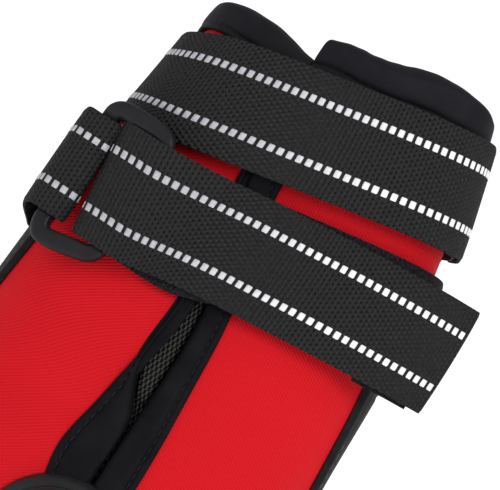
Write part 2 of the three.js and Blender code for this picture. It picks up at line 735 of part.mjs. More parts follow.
// Lower strap: ring at -X in front, free end standing out at +X.
const lowerPlane = strapPlane(LOWER);
const lowerRing = ringFrame(LOWER, lowerPlane);
const hookFrom = 20; // angle where the hook patch under the free end begins
const hookLift = (angle) => (angle > hookFrom ? hookThickness + fit : 0);
const lowerGrid = strapGrid(strapStations(LOWER, lowerRing, hookLift), lowerPlane, lowerRing);
const freeSteps = 4;
runOn(lowerGrid, lowerPlane, freeEnd, freeSteps, 4);
add("strap_lower", sheetGeometry(lowerGrid, webbingThickness), materials.webbing);

// Hook patch: a thin strip under the free end, a little lower than the strap and shorter.
function hookPatchGrid() {
  const rows = lowerGrid.slice(-freeSteps - 1);
  const last = rows.length - 1;
  const keep = 1 - hookShort / (freeEnd / freeSteps);
  rows[last] = rows[last].map((point, j) => rows[last - 1][j].clone().lerp(point, keep));
  const depth = (webbingThickness + hookThickness) / 2 + fit;
  return rows.map((row, i) => {
    const along = rows[Math.min(i + 1, last)][1].clone().sub(rows[Math.max(i - 1, 0)][1]);
    const across = row[2].clone().sub(row[0]).normalize();
    const inward = across.clone().cross(along).normalize();
    const move = across.multiplyScalar(-hookDrop).addScaledVector(inward, depth);
    return row.map((point) => point.clone().add(move));
  });
}
add("hook_patch", sheetGeometry(hookPatchGrid(), hookThickness), materials.webbing);
add("ring_lower", ringGeometry(lowerRing, 1), materials.plastic);

// Upper strap: ring behind the side at +X, free end lying on the side at -X.
const upperPlane = strapPlane(UPPER);
const upperRing = ringFrame(UPPER, upperPlane);
const upperGrid = strapGrid(strapStations(UPPER, upperRing, () => 0), upperPlane, upperRing);
add("strap_upper", sheetGeometry(upperGrid, webbingThickness), materials.webbing);
add("ring_upper", ringGeometry(upperRing, -1), materials.plastic);

export default boot;
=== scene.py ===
import math

import bmesh
import bpy
import numpy as np
from mathutils import Matrix, Vector


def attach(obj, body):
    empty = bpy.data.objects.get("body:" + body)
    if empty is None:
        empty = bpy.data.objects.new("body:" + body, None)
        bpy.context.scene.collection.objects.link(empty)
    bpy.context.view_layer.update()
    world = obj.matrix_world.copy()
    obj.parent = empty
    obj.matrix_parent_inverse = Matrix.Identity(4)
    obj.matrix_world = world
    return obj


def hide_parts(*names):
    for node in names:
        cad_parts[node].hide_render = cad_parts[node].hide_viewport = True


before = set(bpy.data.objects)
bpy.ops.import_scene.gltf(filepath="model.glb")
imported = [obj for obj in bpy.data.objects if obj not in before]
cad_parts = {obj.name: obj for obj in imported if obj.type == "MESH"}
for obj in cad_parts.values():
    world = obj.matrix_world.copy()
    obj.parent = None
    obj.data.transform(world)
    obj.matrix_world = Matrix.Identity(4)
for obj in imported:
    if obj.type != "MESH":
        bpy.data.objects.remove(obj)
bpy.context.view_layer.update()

# Camera. The photograph looks down a little on the front of the boot, close in and rolled, so
# that the shaft leans to the right and the sole runs out of the picture at the lower left.
view_elevation = math.radians(15)
view_roll = math.radians(32.6)
view_distance = 0.6
view_target = Vector((0.001, -0.020, 0.0904))
picture_width = 0.1042
sensor_width = 36

view_right = Vector((1, 0, 0))
view_up = Vector((0, math.sin(view_elevation), math.cos(view_elevation)))
view_back = view_right.cross(view_up)
camera_right = math.cos(view_roll) * view_right + math.sin(view_roll) * view_up
camera_up = math.cos(view_roll) * view_up - math.sin(view_roll) * view_right
camera_data = bpy.data.cameras.new("camera")
camera_data.sensor_width = sensor_width
camera_data.lens = sensor_width * view_distance / picture_width
camera = bpy.data.objects.new("camera", camera_data)
camera.matrix_world = Matrix.Translation(view_target + view_distance * view_back) @ Matrix(
    (camera_right, camera_up, view_back)
).transposed().to_4x4()
bpy.context.collection.objects.link(camera)
bpy.context.scene.camera = camera

# Floor and light. A plain white floor in a white room, one broad soft light high in front on the
# right and a weaker one from the left, as a product picture is lit, shown in plain colours.
bpy.context.scene.view_settings.view_transform = "Standard"
room_light = 0.62
bpy.ops.mesh.primitive_plane_add(size=12, location=(0, 0, 0))
floor = bpy.context.object
floor.name = "floor"
floor_paint = bpy.data.materials.new("floor_paint")
floor_paint.use_nodes = True
floor_shader = floor_paint.node_tree.nodes["Principled BSDF"]
floor_shader.inputs["Base Color"].default_value = (0.9, 0.9, 0.9, 1)
floor_shader.inputs["Roughness"].default_value = 0.9
floor_shader.inputs["Emission Color"].default_value = (1, 1, 1, 1)
floor_shader.inputs["Emission Strength"].default_value = 0.42
floor.data.materials.append(floor_paint)

room = bpy.data.worlds.new("room")
room.use_nodes = True
room.node_tree.nodes["Background"].inputs["Color"].default_value = (1, 1, 1, 1)
room.node_tree.nodes["Background"].inputs["Strength"].default_value = room_light
bpy.context.scene.world = room


def soft_light(name, place, aim, size, power):
    """A square area lamp that faces the point aimed at."""
    data = bpy.data.lights.new(name, "AREA")
    data.size = size
    data.energy = power
    lamp = bpy.data.objects.new(name, data)
    lamp.location = place
    lamp.rotation_euler = (Vector(aim) - Vector(place)).to_track_quat("-Z", "Y").to_euler()
    bpy.context.collection.objects.link(lamp)


soft_light("key", (0.45, -0.7, 0.75), (0, 0, 0.08), 0.45, 4.4)
soft_light("fill", (-0.8, -0.6, 0.5), (0, 0, 0.08), 0.8, 0.6)

# Outsole. One moulding of black rubber: a cup that the upper is cemented into, with a lip and
# upright ribs round its side, and a tread of edge lugs and hexagonal studs. Its toe is sprung.
mm = 0.001
foot_length = 93.0
foot_width = 84.0
collar_height = 130.0
wall = 2.0
fit = 0.3
ball_skew = 0.035  # front of the foot wider than the heel

# The last. Its columns: height as a share of collar_height; toe and heel of foot_length; width
# and shift towards +X of foot_width; the section's superellipse exponent; and the rake, as a
# share of collar_height.
sections = np.array([
    (0.038, 0.478, 0.458, 0.930, 0.000, 2.35, 0.000),
    (0.100, 0.510, 0.478, 0.981, 0.000, 2.35, 0.000),
    (0.185, 0.517, 0.483, 1.000, 0.000, 2.40, 0.000),
    (0.262, 0.490, 0.479, 1.000, 0.001, 2.45, 0.000),
    (0.338, 0.436, 0.468, 0.993, 0.002, 2.55, 0.002),
    (0.423, 0.371, 0.456, 0.980, 0.003, 2.65, 0.006),
    (0.515, 0.307, 0.443, 0.965, 0.006, 2.80, 0.016),
    (0.615, 0.243, 0.430, 0.943, 0.011, 2.95, 0.035),
    (0.715, 0.189, 0.415, 0.911, 0.017, 3.05, 0.058),
    (0.815, 0.145, 0.398, 0.868, 0.020, 3.10, 0.083),
    (0.908, 0.111, 0.382, 0.817, 0.015, 3.10, 0.106),
    (1.000, 0.081, 0.365, 0.765, 0.005, 3.10, 0.125),
])


def smooth_table(knots, values, at):
    """Cubic spans through the rows of a table: at each row the slope is the mean of the slopes
    on its two sides, and past the ends the curve goes straight on."""
    at = np.asarray(at, float)
    slopes = np.diff(values, axis=0) / np.diff(knots)[:, None]
    tangents = np.vstack([slopes[:1], (slopes[1:] + slopes[:-1]) / 2, slopes[-1:]])
    i = np.clip(np.searchsorted(knots, at) - 1, 0, len(knots) - 2)
    span = (knots[i + 1] - knots[i])[..., None]
    whole = (at - knots[i])[..., None] / span
    u = np.clip(whole, 0, 1)
    rise = u * u * (3 - 2 * u)
    curve = values[i] * (1 - rise) + values[i + 1] * rise
    curve += span * (u * (1 - u) ** 2 * tangents[i] - u * u * (1 - u) * tangents[i + 1])
    return curve + (whole - u) * span * np.where(whole > 1, tangents[i + 1], tangents[i])


def signed_power(value, power):
    """The size of a value raised to a power, with the value's sign."""
    return np.sign(value) * np.abs(value) ** power


def section_at(height):
    """Half width, half length, middle, shift, exponent and rake of the section at a height."""
    found = smooth_table(sections[:, 0], sections[:, 1:], height)
    toe, heel, width, shift, square, rake = np.moveaxis(found, -1, 0)
    half_length = (toe + heel) * foot_length / 2
    middle = (heel - toe) * foot_length / 2
    return width * foot_width / 2, half_length, middle, shift * foot_width, square, rake


def last_point(angle, height, offset=0.0):
    """Point of the last: x = shift + a sin^(2/n), y = middle - b cos^(2/n) of the angle from the
    toe, with a and b grown by the offset, and z lowered towards the back by the rake."""
    half_width, half_length, middle, shift, square, rake = section_at(height)
    sine, cosine = np.sin(angle), np.cos(angle)
    skew = 1 + ball_skew * cosine * np.clip(1 - height, 0, 1)
    x = shift + (half_width + offset) * signed_power(sine, 2 / square) * skew
    y = middle - (half_length + offset) * signed_power(cosine, 2 / square)
    z = collar_height * (height - rake * (1 - cosine) / 2)
    return np.stack(np.broadcast_arrays(x, y, z), -1)


def angle_towards(direction, height, offset=0.0):
    """The superellipse's angle of the point seen from the section's middle in a direction."""
    half_width, half_length, _, _, square, _ = section_at(height)
    across = np.abs(np.sin(direction)) / (half_width + offset)
    along = np.abs(np.cos(direction)) / (half_length + offset)
    radius = (across**square + along**square) ** (-1 / square)
    sine = np.sign(np.sin(direction)) * (radius * across) ** (square / 2)
    cosine = np.sign(np.cos(direction)) * (radius * along) ** (square / 2)
    return np.arctan2(sine, cosine)


def direction_of(angle, height, offset=0.0):
    """The way back: direction from the section's middle to the point at an angle."""
    half_width, half_length, _, _, square, _ = section_at(height)
    across = (half_width + offset) * signed_power(np.sin(angle), 2 / square)
    along = (half_length + offset) * signed_power(np.cos(angle), 2 / square)
    return np.arctan2(across, along)


def shell_point(direction, z, offset=0.0):
    """Point of the last in a direction at a height z, the height share found by repetition."""
    height = z / collar_height
    for _ in range(14):
        angle = angle_towards(direction, height, offset)
        rake = section_at(height)[5]
        height = z / collar_height + rake * (1 - np.cos(angle)) / 2
    return last_point(angle, height, offset)


def front_angle(x, z, offset=0.0):
    """Angle and height share of the front's point that has this x and z, by repetition."""
    height = z / collar_height + 0 * x
    cosine = 1.0
    for _ in range(14):
        half_width, _, _, shift, square, rake = section_at(height)
        skew = 1 + ball_skew * cosine * np.clip(1 - height, 0, 1)
        across = np.clip((x - shift) / ((half_width + offset) * skew), -0.999, 0.999)
        cosine = np.sqrt(1 - np.abs(across) ** square)
        height = z / collar_height + rake * (1 - cosine) / 2
    sine = np.sign(across) * np.abs(across) ** (square / 2)
    return np.arctan2(sine, cosine), height


def front_point(x, z, offset=0.0):
    """Point on the front of the last, grown by the offset, that has this x and z."""
    angle, height = front_angle(x, z, offset)
    return last_point(angle, height, offset)


def grid_quads(rows, columns, wrap_rows=False, wrap_columns=False):
    """Corner numbers of a grid's quads, its points numbered row by row."""
    i = np.arange(rows if wrap_rows else rows - 1)[:, None]
    j = np.arange(columns if wrap_columns else columns - 1)[None, :]
    up, on = (i + 1) % rows, (j + 1) % columns
    corners = [i * columns + j, i * columns + on, up * columns + on, up * columns + j]
    return np.stack(corners, -1).reshape(-1, 4)


def round_part(points, wrap_rows=False):
    """A closed body, without UV, from a grid of points whose columns run round."""
    quads = grid_quads(*points.shape[:2], wrap_rows, wrap_columns=True)
    return points.reshape(-1, 3), quads, np.zeros((len(quads), 4, 2)), np.zeros(len(quads), int)


def sheet_part(face, back, spread=None, paint=0, back_paint=0):
    """A closed sheet between two grids of rows by columns: each row runs out along the face and
    home along the back, and the first and last rows are capped."""
    rows, across = face.shape[:2]
    columns = 2 * across
    points = np.concatenate([face, back[:, ::-1]], 1)
    k = np.arange(across - 1)
    cap = np.stack([k, k + 1, columns - 2 - k, columns - 1 - k], -1)
    body = grid_quads(rows, columns, wrap_columns=True)
    quads = np.vstack([body, cap[:, ::-1], cap + (rows - 1) * columns])
    if spread is None:
        spread = np.zeros((rows, across, 2))
    corner_uv = np.concatenate([spread, spread[:, ::-1]], 1).reshape(-1, 2)[quads]
    paints = np.where(body[:, 0] % columns < across - 1, paint, back_paint)
    paints = np.concatenate([paints, np.full(2 * len(cap), back_paint)])
    return points.reshape(-1, 3), quads, corner_uv, paints


def make_piece(name, parts, materials, nodes=(), sharp=40):
    """One mesh object from closed parts: points in millimetres, quads, the corners' UV in
    millimetres and each quad's material. Each part is turned so that its faces point out."""
    all_points, all_quads, all_uv, all_paints = [], [], [], []
    start = 0
    for points, quads, corner_uv, paints in parts:
        a, b, c, d = (points[quads[:, k]] for k in range(4))
        volume = np.sum(a * np.cross(b, c)) + np.sum(a * np.cross(c, d))
        if volume < 0:
            quads, corner_uv = quads[:, ::-1], corner_uv[:, ::-1]
        all_points.append(points)
        all_quads.append(quads + start)
        all_uv.append(corner_uv)
        all_paints.append(paints)
        start += len(points)
    points = np.vstack(all_points) * mm
    quads = np.vstack(all_quads)
    mesh = bpy.data.meshes.new(name)
    mesh.vertices.add(len(points))
    mesh.vertices.foreach_set("co", points.astype(np.float32).ravel())
    mesh.loops.add(quads.size)
    mesh.loops.foreach_set("vertex_index", quads.astype(np.int32).ravel())
    mesh.polygons.add(len(quads))
    mesh.polygons.foreach_set("loop_start", np.arange(0, quads.size, 4, dtype=np.int32))
    mesh.update(calc_edges=True)
    mesh.uv_layers.new(name="cloth")
    mesh.uv_layers["cloth"].data.foreach_set("uv", np.vstack(all_uv).astype(np.float32).ravel())
    mesh.polygons.foreach_set("material_index", np.concatenate(all_paints).astype(np.int32))
    build = bmesh.new()
    build.from_mesh(mesh)
    bmesh.ops.remove_doubles(build, verts=build.verts, dist=1e-7)
    build.to_mesh(mesh)
    build.free()
    mesh.shade_smooth()
    mesh.set_sharp_from_angle(angle=math.radians(sharp))
    for material in materials:
        mesh.materials.append(material)
    piece = bpy.data.objects.new(name, mesh)
    bpy.context.collection.objects.link(piece)
    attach(piece, "root")
    if nodes:
        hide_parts(*nodes)


def new_material(name, colour, roughness, specular=0.5):
    """A Principled material with its plain values on the shader's own sockets."""
    material = bpy.data.materials.new(name)
    material.use_nodes = True
    shader = material.node_tree.nodes["Principled BSDF"]
    shader.inputs["Base Color"].default_value = (*colour, 1)
    shader.inputs["Roughness"].default_value = roughness
    shader.inputs["Specular IOR Level"].default_value = specular
    return material, material.node_tree, shader


def node(tree, kind, values=(), **settings):
    """A node with its inputs set: a socket is linked, and anything else is a plain value."""
    made = tree.nodes.new(kind)
    for key, value in settings.items():
        setattr(made, key, value)
    for key, value in dict(values).items():
        if isinstance(value, bpy.types.NodeSocket):
            tree.links.new(value, made.inputs[key])
        else:
            made.inputs[key].default_value = value
    return made


def sum_of(tree, operation, *values):
    """One step of arithmetic on values or sockets."""
    return node(tree, "ShaderNodeMath", dict(enumerate(values)), operation=operation).outputs[0]


def place_in(tree):
    """The object's own coordinates, in metres."""
    return node(tree, "ShaderNodeTexCoord").outputs["Object"]


def cloth_uv(tree):
    """The piece's two UV coordinates, in millimetres."""
    both = node(tree, "ShaderNodeUVMap", uv_map="cloth").outputs[0]
    apart = node(tree, "ShaderNodeSeparateXYZ", {0: both})
    return apart.outputs[0], apart.outputs[1]


def noise_of(tree, where, scale, detail=3.0, roughness=0.5):
    """Noise on the coordinates given, its scale in waves to the metre."""
    values = {"Vector": where, "Scale": scale, "Detail": detail, "Roughness": roughness}
    return node(tree, "ShaderNodeTexNoise", values).outputs["Fac"]


def bump_into(tree, shader, height, distance, below=None):
    """Bump of a distance in millimetres on the shader, over another bump if one is given."""
    values = {"Height": height, "Distance": distance * mm, "Strength": 1.0}
    bump = node(tree, "ShaderNodeBump", values)
    if below is not None:
        tree.links.new(below.outputs[0], bump.inputs["Normal"])
    tree.links.new(bump.outputs[0], shader.inputs["Normal"])
    return bump


def tone_into(tree, shader, share, dark, light, low, high):
    """Colour on the shader that goes from dark to light as the share goes from low to high."""
    ramp = node(tree, "ShaderNodeMapRange", {0: share, 1: low, 2: high, 3: 0.0, 4: 1.0})
    mix = node(tree, "ShaderNodeMix", {0: ramp.outputs[0]}, data_type="RGBA")
    mix.inputs[6].default_value = (*dark, 1)
    mix.inputs[7].default_value = (*light, 1)
    tree.links.new(mix.outputs[2], shader.inputs["Base Color"])


def rubber_material(name, dark, light, roughness):
    """Moulded rubber: a fine matt grain, with slow patches where it has been rubbed."""
    material, tree, shader = new_material(name, light, roughness, 0.16)
    where = place_in(tree)
    grain = noise_of(tree, where, 2600, 2)
    patches = noise_of(tree, where, 90, 4)
    tone_into(tree, shader, patches, dark, light, 0.3, 0.7)
    rubbing = {0: patches, 1: 0.3, 2: 0.7, 3: roughness + 0.08, 4: roughness - 0.1}
    rubbed = node(tree, "ShaderNodeMapRange", rubbing)
    tree.links.new(rubbed.outputs[0], shader.inputs["Roughness"])
    bump_into(tree, shader, grain, 0.05)
    return material


sole_rubber = rubber_material("sole_rubber", (0.010, 0.010, 0.011), (0.022, 0.023, 0.025), 0.6)

sole_floor = 7.0
lug_depth = 3.0
cup_height = 13.5
cup_edge = 2.0 + fit  # wall of the cup, outside the upper
toe_spring = 1.6
spring_start = -0.24 * foot_length
toe_tip = -0.517 * foot_length
rib_pairs = 11
rib_half_width = 1.2
rib_rise = 0.6
rib_low, rib_high = 5.0, 10.4


def spring_at(y):
    """Rise of the tread at a y: toe_spring times the square of the way to the toe's tip."""
    return toe_spring * np.clip((y - spring_start) / (toe_tip - spring_start), 0, 1) ** 2


def ramp_up(value, low, high):
    """0 below low, 1 above high and 3 s^2 - 2 s^3 of the way s between them."""
    share = np.clip((value - low) / (high - low), 0, 1)
    return share * share * (3 - 2 * share)


# The cup's profile from the middle of its underside round to the middle of its floor: share of
# the way out from the middle, offset from the last and height above the floor.
cup_profile = np.array([
    (0.0, -2.0, 3.0), (0.3, -2.0, 3.0), (0.6, -2.0, 3.0), (0.85, -2.0, 3.0), (0.97, -2.0, 3.0),
    (1.0, cup_edge - 2.2, 3.0), (1.0, cup_edge - 1.2, 3.15), (1.0, cup_edge - 0.45, 3.7),
    (1.0, cup_edge - 0.1, 4.4), (1.0, cup_edge, 4.8), (1.0, cup_edge, 5.1), (1.0, cup_edge, 5.4),
    (1.0, cup_edge, 7.7), (1.0, cup_edge, 10.0), (1.0, cup_edge, 10.3), (1.0, cup_edge, 10.6),
    (1.0, cup_edge, 10.9), (1.0, cup_edge - 0.1, 11.1), (1.0, cup_edge - 0.42, 11.35),
    (1.0, cup_edge - 0.48, 11.6), (1.0, cup_edge - 0.5, 12.7), (1.0, cup_edge - 0.62, 13.2),
    (1.0, cup_edge - 1.0, 13.45), (1.0, fit + 0.5, 13.5), (1.0, fit + 0.1, 13.35), (1.0, fit, 13.0),
    (1.0, fit, 7.4), (1.0, fit - 0.4, 7.0), (0.85, fit, 7.0), (0.5, fit, 7.0), (0.0, fit, 7.0),
])


def cup_part():
    """Rows of the profile, each taken right round the last. Ribs raise the side wall where the
    point is near one of the lines that cross the boot through its middle."""
    direction = np.linspace(0, 2 * np.pi, 720, endpoint=False)[None, :]
    share, offset, z = (cup_profile[:, k][:, None] for k in range(3))
    side = shell_point(direction, z, offset)
    rib = np.zeros_like(direction + z)
    for k in range(rib_pairs):
        turn = np.pi * (k + 0.5) / rib_pairs
        distance = np.abs(side[..., 0] * np.cos(turn) + side[..., 1] * np.sin(turn))
        rib = np.maximum(rib, 1 - ramp_up(distance, rib_half_width - 0.25, rib_half_width + 0.25))
    rib *= ((z > rib_low) & (z < rib_high) & (offset >= cup_edge - 0.01))
    side = shell_point(direction, z, offset + rib * rib_rise)
    middle = side.mean(1, keepdims=True)
    points = middle + share[..., None] * (side - middle)
    points[..., 2] = z
    sprung = np.clip((sole_floor - z) / (sole_floor - lug_depth), 0, 1)
    points[..., 2] += spring_at(points[..., 1]) * sprung
    return round_part(points)


def block_part(outline, place, turn, low, high, bevel):
    """A bevelled block: its outline, drawn in at the bottom, in rings between two middle points."""
    heights = np.array([low, low, low + bevel, high, high])
    scales = np.array([0.0, 1 - bevel / 4, 1.0, 1.0, 0.0])
    c, s = math.cos(turn), math.sin(turn)
    turned = outline @ np.array([[c, s], [-s, c]])
    flat = scales[:, None, None] * turned[None] + np.asarray(place)
    tall = np.broadcast_to(heights[:, None, None], (*flat.shape[:2], 1))
    points = np.concatenate([flat, tall], -1)
    return round_part(points)


edge_lugs = 18
lug_length = 8.0
stud_radius = 5.0
stud_pitch = 13.0
# Rows of studs: place from the middle as a share of foot_length, and number of studs.
stud_rows = ((-0.31, 3), (-0.165, 4), (-0.02, 3), (0.125, 4), (0.27, 3))


def tread_parts():
    """Lugs at even angles round the edge, each turned outwards, and rows of hexagonal studs."""
    parts = []
    lug_outline = np.array([(-3.5, -3.4), (-2.9, -4), (2.9, -4), (3.5, -3.4), (3.5, 4), (-3.5, 4)])
    for k in range(edge_lugs):
        angle = 2 * np.pi * (k + 0.5) / edge_lugs
        x, y, _ = last_point(angle, lug_depth / collar_height, cup_edge - 2.2 - lug_length / 2)
        lift = float(spring_at(y))
        parts.append(block_part(lug_outline, (x, y), math.atan2(x, -y), lift, lift + lug_depth + 0.6, 0.4))
    corners = np.radians(np.arange(6) * 60 + 30)
    hexagon = stud_radius * np.stack([np.sin(corners), np.cos(corners)], -1)
    for place, studs in stud_rows:
        for k in range(studs):
            spot = ((k - (studs - 1) / 2) * stud_pitch, place * foot_length)
            parts.append(block_part(hexagon, spot, 0, 0.0, lug_depth + 0.8, 0.35))
    return parts


make_piece("sole_cup", [cup_part()], [sole_rubber], ["outsole"])
make_piece("sole_tread", tread_parts(), [sole_rubber], sharp=25)

# Insole. A flat foam board covered in dark knit, cut to the inside of the upper and dropped in.
# Only its top shows, from above through the collar.
knit, knit_tree, knit_shader = new_material("knit_lining", (0.04, 0.04, 0.043), 0.9, 0.1)
knit_where = place_in(knit_tree)
knit_loops = node(knit_tree, "ShaderNodeTexVoronoi", {"Vector": knit_where, "Scale": 1500.0}).outputs[0]
tone_into(knit_tree, knit_shader, knit_loops, (0.05, 0.05, 0.054), (0.018, 0.018, 0.02), 0.1, 0.8)
bump_into(knit_tree, knit_shader, knit_loops, -0.3)

# The board's profile: share of the way out from its middle, and height above the floor.
board_profile = np.array([
    (0.0, 7.3), (0.5, 7.3), (0.97, 7.3), (0.995, 7.5), (1.0, 7.9), (1.0, 9.6), (0.995, 10.1),
    (0.97, 10.3), (0.9, 10.3), (0.6, 10.3), (0.3, 10.3), (0.0, 10.3),
])


def board_part():
    """Rows of the board's profile, each a share of the section inside the upper."""
    direction = np.linspace(0, 2 * np.pi, 180, endpoint=False)[None, :]
    share, z = board_profile[:, 0][:, None], board_profile[:, 1][:, None]
    side = shell_point(direction, z, -wall - fit - 0.1)
    middle = side.mean(1, keepdims=True)
    points = middle + share[..., None] * (side - middle)
    return round_part(points)


make_piece("paw_bed", [board_part()], [knit], ["insole"])

# Upper. Red twill soft-shell laminated to thin foam with a dark knit inside, cut as a left and a
# right panel, closed at the back and open down the front, where both edges are bound in tape.

# The collar's edge: angle from the toe in degrees, and rise over the last's top as a share of
# collar_height.
rim = np.array([
    (-10, 0.015), (0, 0.032), (20, 0.062), (52, 0.08), (75, 0.083), (110, 0.06), (187, 0.005),
    (265, -0.008), (289, 0.008), (331, -0.004), (352, -0.025), (360, -0.03),
], float)

# The front split: height as a share of collar_height, then shares of foot_width from the middle
# to the outer and inner edges of the left and right tapes.
split_columns = ("height", "left_out", "left_in", "right_in", "right_out")
split = np.array([
    (0.215, -0.095, -0.004, 0.004, 0.099),
    (0.300, -0.122, -0.003, 0.004, 0.099),
    (0.385, -0.099, -0.006, 0.006, 0.095),
    (0.420, -0.089, -0.034, 0.008, 0.091),
    (0.455, -0.079, -0.056, 0.010, 0.087),
    (0.575, -0.057, -0.052, 0.002, 0.071),
    (0.780, -0.106, -0.089, -0.083, 0.003),
    (1.090, -0.118, -0.101, -0.095, -0.006),
])
tape_thickness = 0.9
split_foot = split[0, 0] * collar_height
turn_in = tape_thickness + fit
half_cut = 0.03  # half the slit between the panels below the split

# Creases, listed one by one: direction from the toe in degrees, height in millimetres, slope
# in degrees, length, width and depth in millimetres. A negative depth is a soft ridge.
creases = np.array([
    (40, 62, -14, 26, 5.0, 0.45), (52, 52, -22, 20, 4.0, 0.3), (-38, 60, 12, 24, 5.0, 0.4),
    (-55, 48, 24, 18, 4.0, 0.3), (30, 78, -6, 18, 4.5, -0.35), (-28, 77, 8, 16, 4.5, -0.3),
    (115, 78, 8, 28, 4.0, 0.5), (-115, 78, -8, 28, 4.0, 0.5), (180, 86, 0, 22, 4.0, 0.5),
    (150, 98, 12, 22, 4.0, 0.4), (-150, 99, -12, 22, 4.0, 0.4), (62, 96, -10, 20, 5.0, 0.35),
    (-46, 38, 20, 44, 6.0, 1.1), (-20, 60, -34, 26, 5.0, 0.8), (44, 36, -16, 44, 7.0, 0.9),
    (-70, 92, 12, 18, 4.0, 0.3), (24, 40, -30, 18, 5.0, 0.25), (-26, 42, 34, 18, 5.0, 0.25),
])
mean_radius = 38.0  # from the upper's middle to its wall


def rim_at(direction):
    """Height of the collar's edge: the last's top, raked, and the table's rise on it."""
    angle = angle_towards(direction, 1.0)
    turns = np.degrees(angle) + 360 * (direction > np.pi)
    rake = section_at(1.0)[5]
    rise = smooth_table(rim[:, 0], rim[:, 1:], turns)[..., 0]
    return collar_height * (1 - rake * (1 - np.cos(angle)) / 2 + rise)


def split_at(z, column):
    """Front view x of one edge of the split, in millimetres, on a smooth curve over z."""
    k = split_columns.index(column)
    return smooth_table(split[:, 0], split[:, k:k + 1], z / collar_height)[..., 0] * foot_width


def crease_at(direction, z):
    """Sum of the creases: depth times a bell across each one, fading towards its ends."""
    total = np.zeros(np.broadcast(direction, z).shape)
    for aim, height, slope, length, width, depth in creases:
        turn = (direction - math.radians(aim) + np.pi) % (2 * np.pi) - np.pi
        along, up = mean_radius * turn, z - height
        tilt = math.radians(slope)
        run = along * math.cos(tilt) + up * math.sin(tilt)
        off = up * math.cos(tilt) - along * math.sin(tilt)
        total -= depth * np.exp(-((off / width) ** 2) - (run / length * 2) ** 4)
    return total


def upper_grid(columns, rows):
    """Directions and heights of the wall's grid: round from the split's right edge to its left
    edge, and up from the sole's floor to the collar's edge."""
    round_share = np.linspace(0, 1, columns)[:, None]
    up_share = np.linspace(0, 1, rows)[None, :]
    low = sole_floor + fit
    z = low + up_share * (collar_height - low) + 0 * round_share
    for _ in range(4):
        opened = ramp_up(z, split_foot - 4, split_foot + 1) * turn_in
        on_split = np.maximum(z, split_foot)
        closing = ramp_up(z, 20, split_foot)
        right_x = split_at(on_split, "right_in") * closing + opened + half_cut
        left_x = split_at(on_split, "left_in") * closing - opened - half_cut
        right = direction_of(*front_angle(right_x, z))
        left = direction_of(*front_angle(left_x, z)) + 2 * np.pi
        direction = right + round_share * (left - right)
        z = low + up_share * (rim_at(direction) - low)
    return direction, z


def wall_part():
    """The wall from its outer to its inner face, both moved by the creases. Each half's UV is
    the way round from its own edge of the split, and the height."""
    direction, z = upper_grid(330, 140)
    soft = crease_at(direction, z)
    outer = shell_point(direction, z, soft)
    inner = shell_point(direction, z, soft - wall)
    step = np.linalg.norm(np.diff(outer, axis=0), axis=-1)
    from_right = np.vstack([np.zeros((1, step.shape[1])), np.cumsum(step, 0)])
    from_left = from_right[-1:] - from_right
    points, quads, _, paints = sheet_part(outer, inner, paint=0, back_paint=1)
    rows, across = outer.shape[:2]
    right_uv = np.stack([from_right, z], -1)
    left_uv = np.stack([from_left, z], -1)
    both = [np.concatenate([uv, uv[:, ::-1]], 1).reshape(-1, 2)[quads] for uv in (right_uv, left_uv)]
    on_left = (quads[:, 0] // (2 * across) >= rows // 2)[:, None, None]
    return points, quads, np.where(on_left, both[1], both[0]), paints


twill_pitch = 0.6
twill_slope = math.radians(34)
twill, twill_tree, twill_shader = new_material("red_twill", (0.62, 0.012, 0.018), 0.75, 0.06)
twill_shader.inputs["Sheen Weight"].default_value = 0.04
twill_shader.inputs["Sheen Roughness"].default_value = 0.4
twill_shader.inputs["Sheen Tint"].default_value = (1.0, 0.25, 0.22, 1)
twill_u, twill_v = cloth_uv(twill_tree)


def half_wave(tree, u, v, pitch, slope):
    """1 plus half the sine of the way across lines that fall at the slope, a pitch apart."""
    across = sum_of(
        tree,
        "ADD",
        sum_of(tree, "MULTIPLY", u, 2 * math.pi * math.sin(slope) / pitch),
        sum_of(tree, "MULTIPLY", v, 2 * math.pi * math.cos(slope) / pitch),
    )
    return sum_of(tree, "MULTIPLY_ADD", sum_of(tree, "SINE", across), 0.5, 1.0)


twill_rib = half_wave(twill_tree, twill_u, twill_v, twill_pitch, twill_slope)
twill_yarn = half_wave(twill_tree, twill_u, twill_v, 0.45, math.radians(-62))
twill_height = sum_of(twill_tree, "ADD", twill_rib, sum_of(twill_tree, "MULTIPLY", twill_yarn, 0.5))
tone_into(twill_tree, twill_shader, twill_height, (0.38, 0.001, 0.004), (0.66, 0.010, 0.017), 0.1, 1.3)
bump_into(twill_tree, twill_shader, twill_height, 0.09)

make_piece("shell_cloth", [wall_part()], [twill, knit], ["upper"])

# Heel counter. A sheet of dark coated synthetic, cut to a band round the back of the foot, with
# a rolled front edge, cemented and stitched over the red cloth below the lower strap.
coated, coated_tree, coated_shader = new_material("coated_synthetic", (0.018, 0.019, 0.021), 0.65, 0.05)
coated_where = place_in(coated_tree)
coated_grain = node(coated_tree, "ShaderNodeTexVoronoi", {"Vector": coated_where, "Scale": 900.0}).outputs[0]
coated_patch = noise_of(coated_tree, coated_where, 420, 4)
tone_into(coated_tree, coated_shader, coated_patch, (0.012, 0.013, 0.014), (0.019, 0.020, 0.021), 0.3, 0.7)
bump_into(coated_tree, coated_shader, coated_grain, 0.08)

counter_thickness = 1.0
counter_top = 72.0
counter_low = cup_height + fit
heel_round = 40.0  # from the heel's middle to the sheet
wrap_seam = 2.8  # from its front edge to its stitches
wrap_step = 2.4
wrap_stitch = 1.7
# Its front edge: height and y, in millimetres.
counter_front = np.array([
    (counter_low - 1, -20.0), (28.6, -16.0), (46.8, -15.0), (72.0, -12.0),
])


def counter_heights(y):
    """Its top edge: level to the ankle, then falling to the back, and tucked up under the lower
    strap at the front."""
    return counter_top - 14 * np.clip((y - 18.6) / 74.4, 0, 1) + 6 * (1 - ramp_up(y, -14, 12))


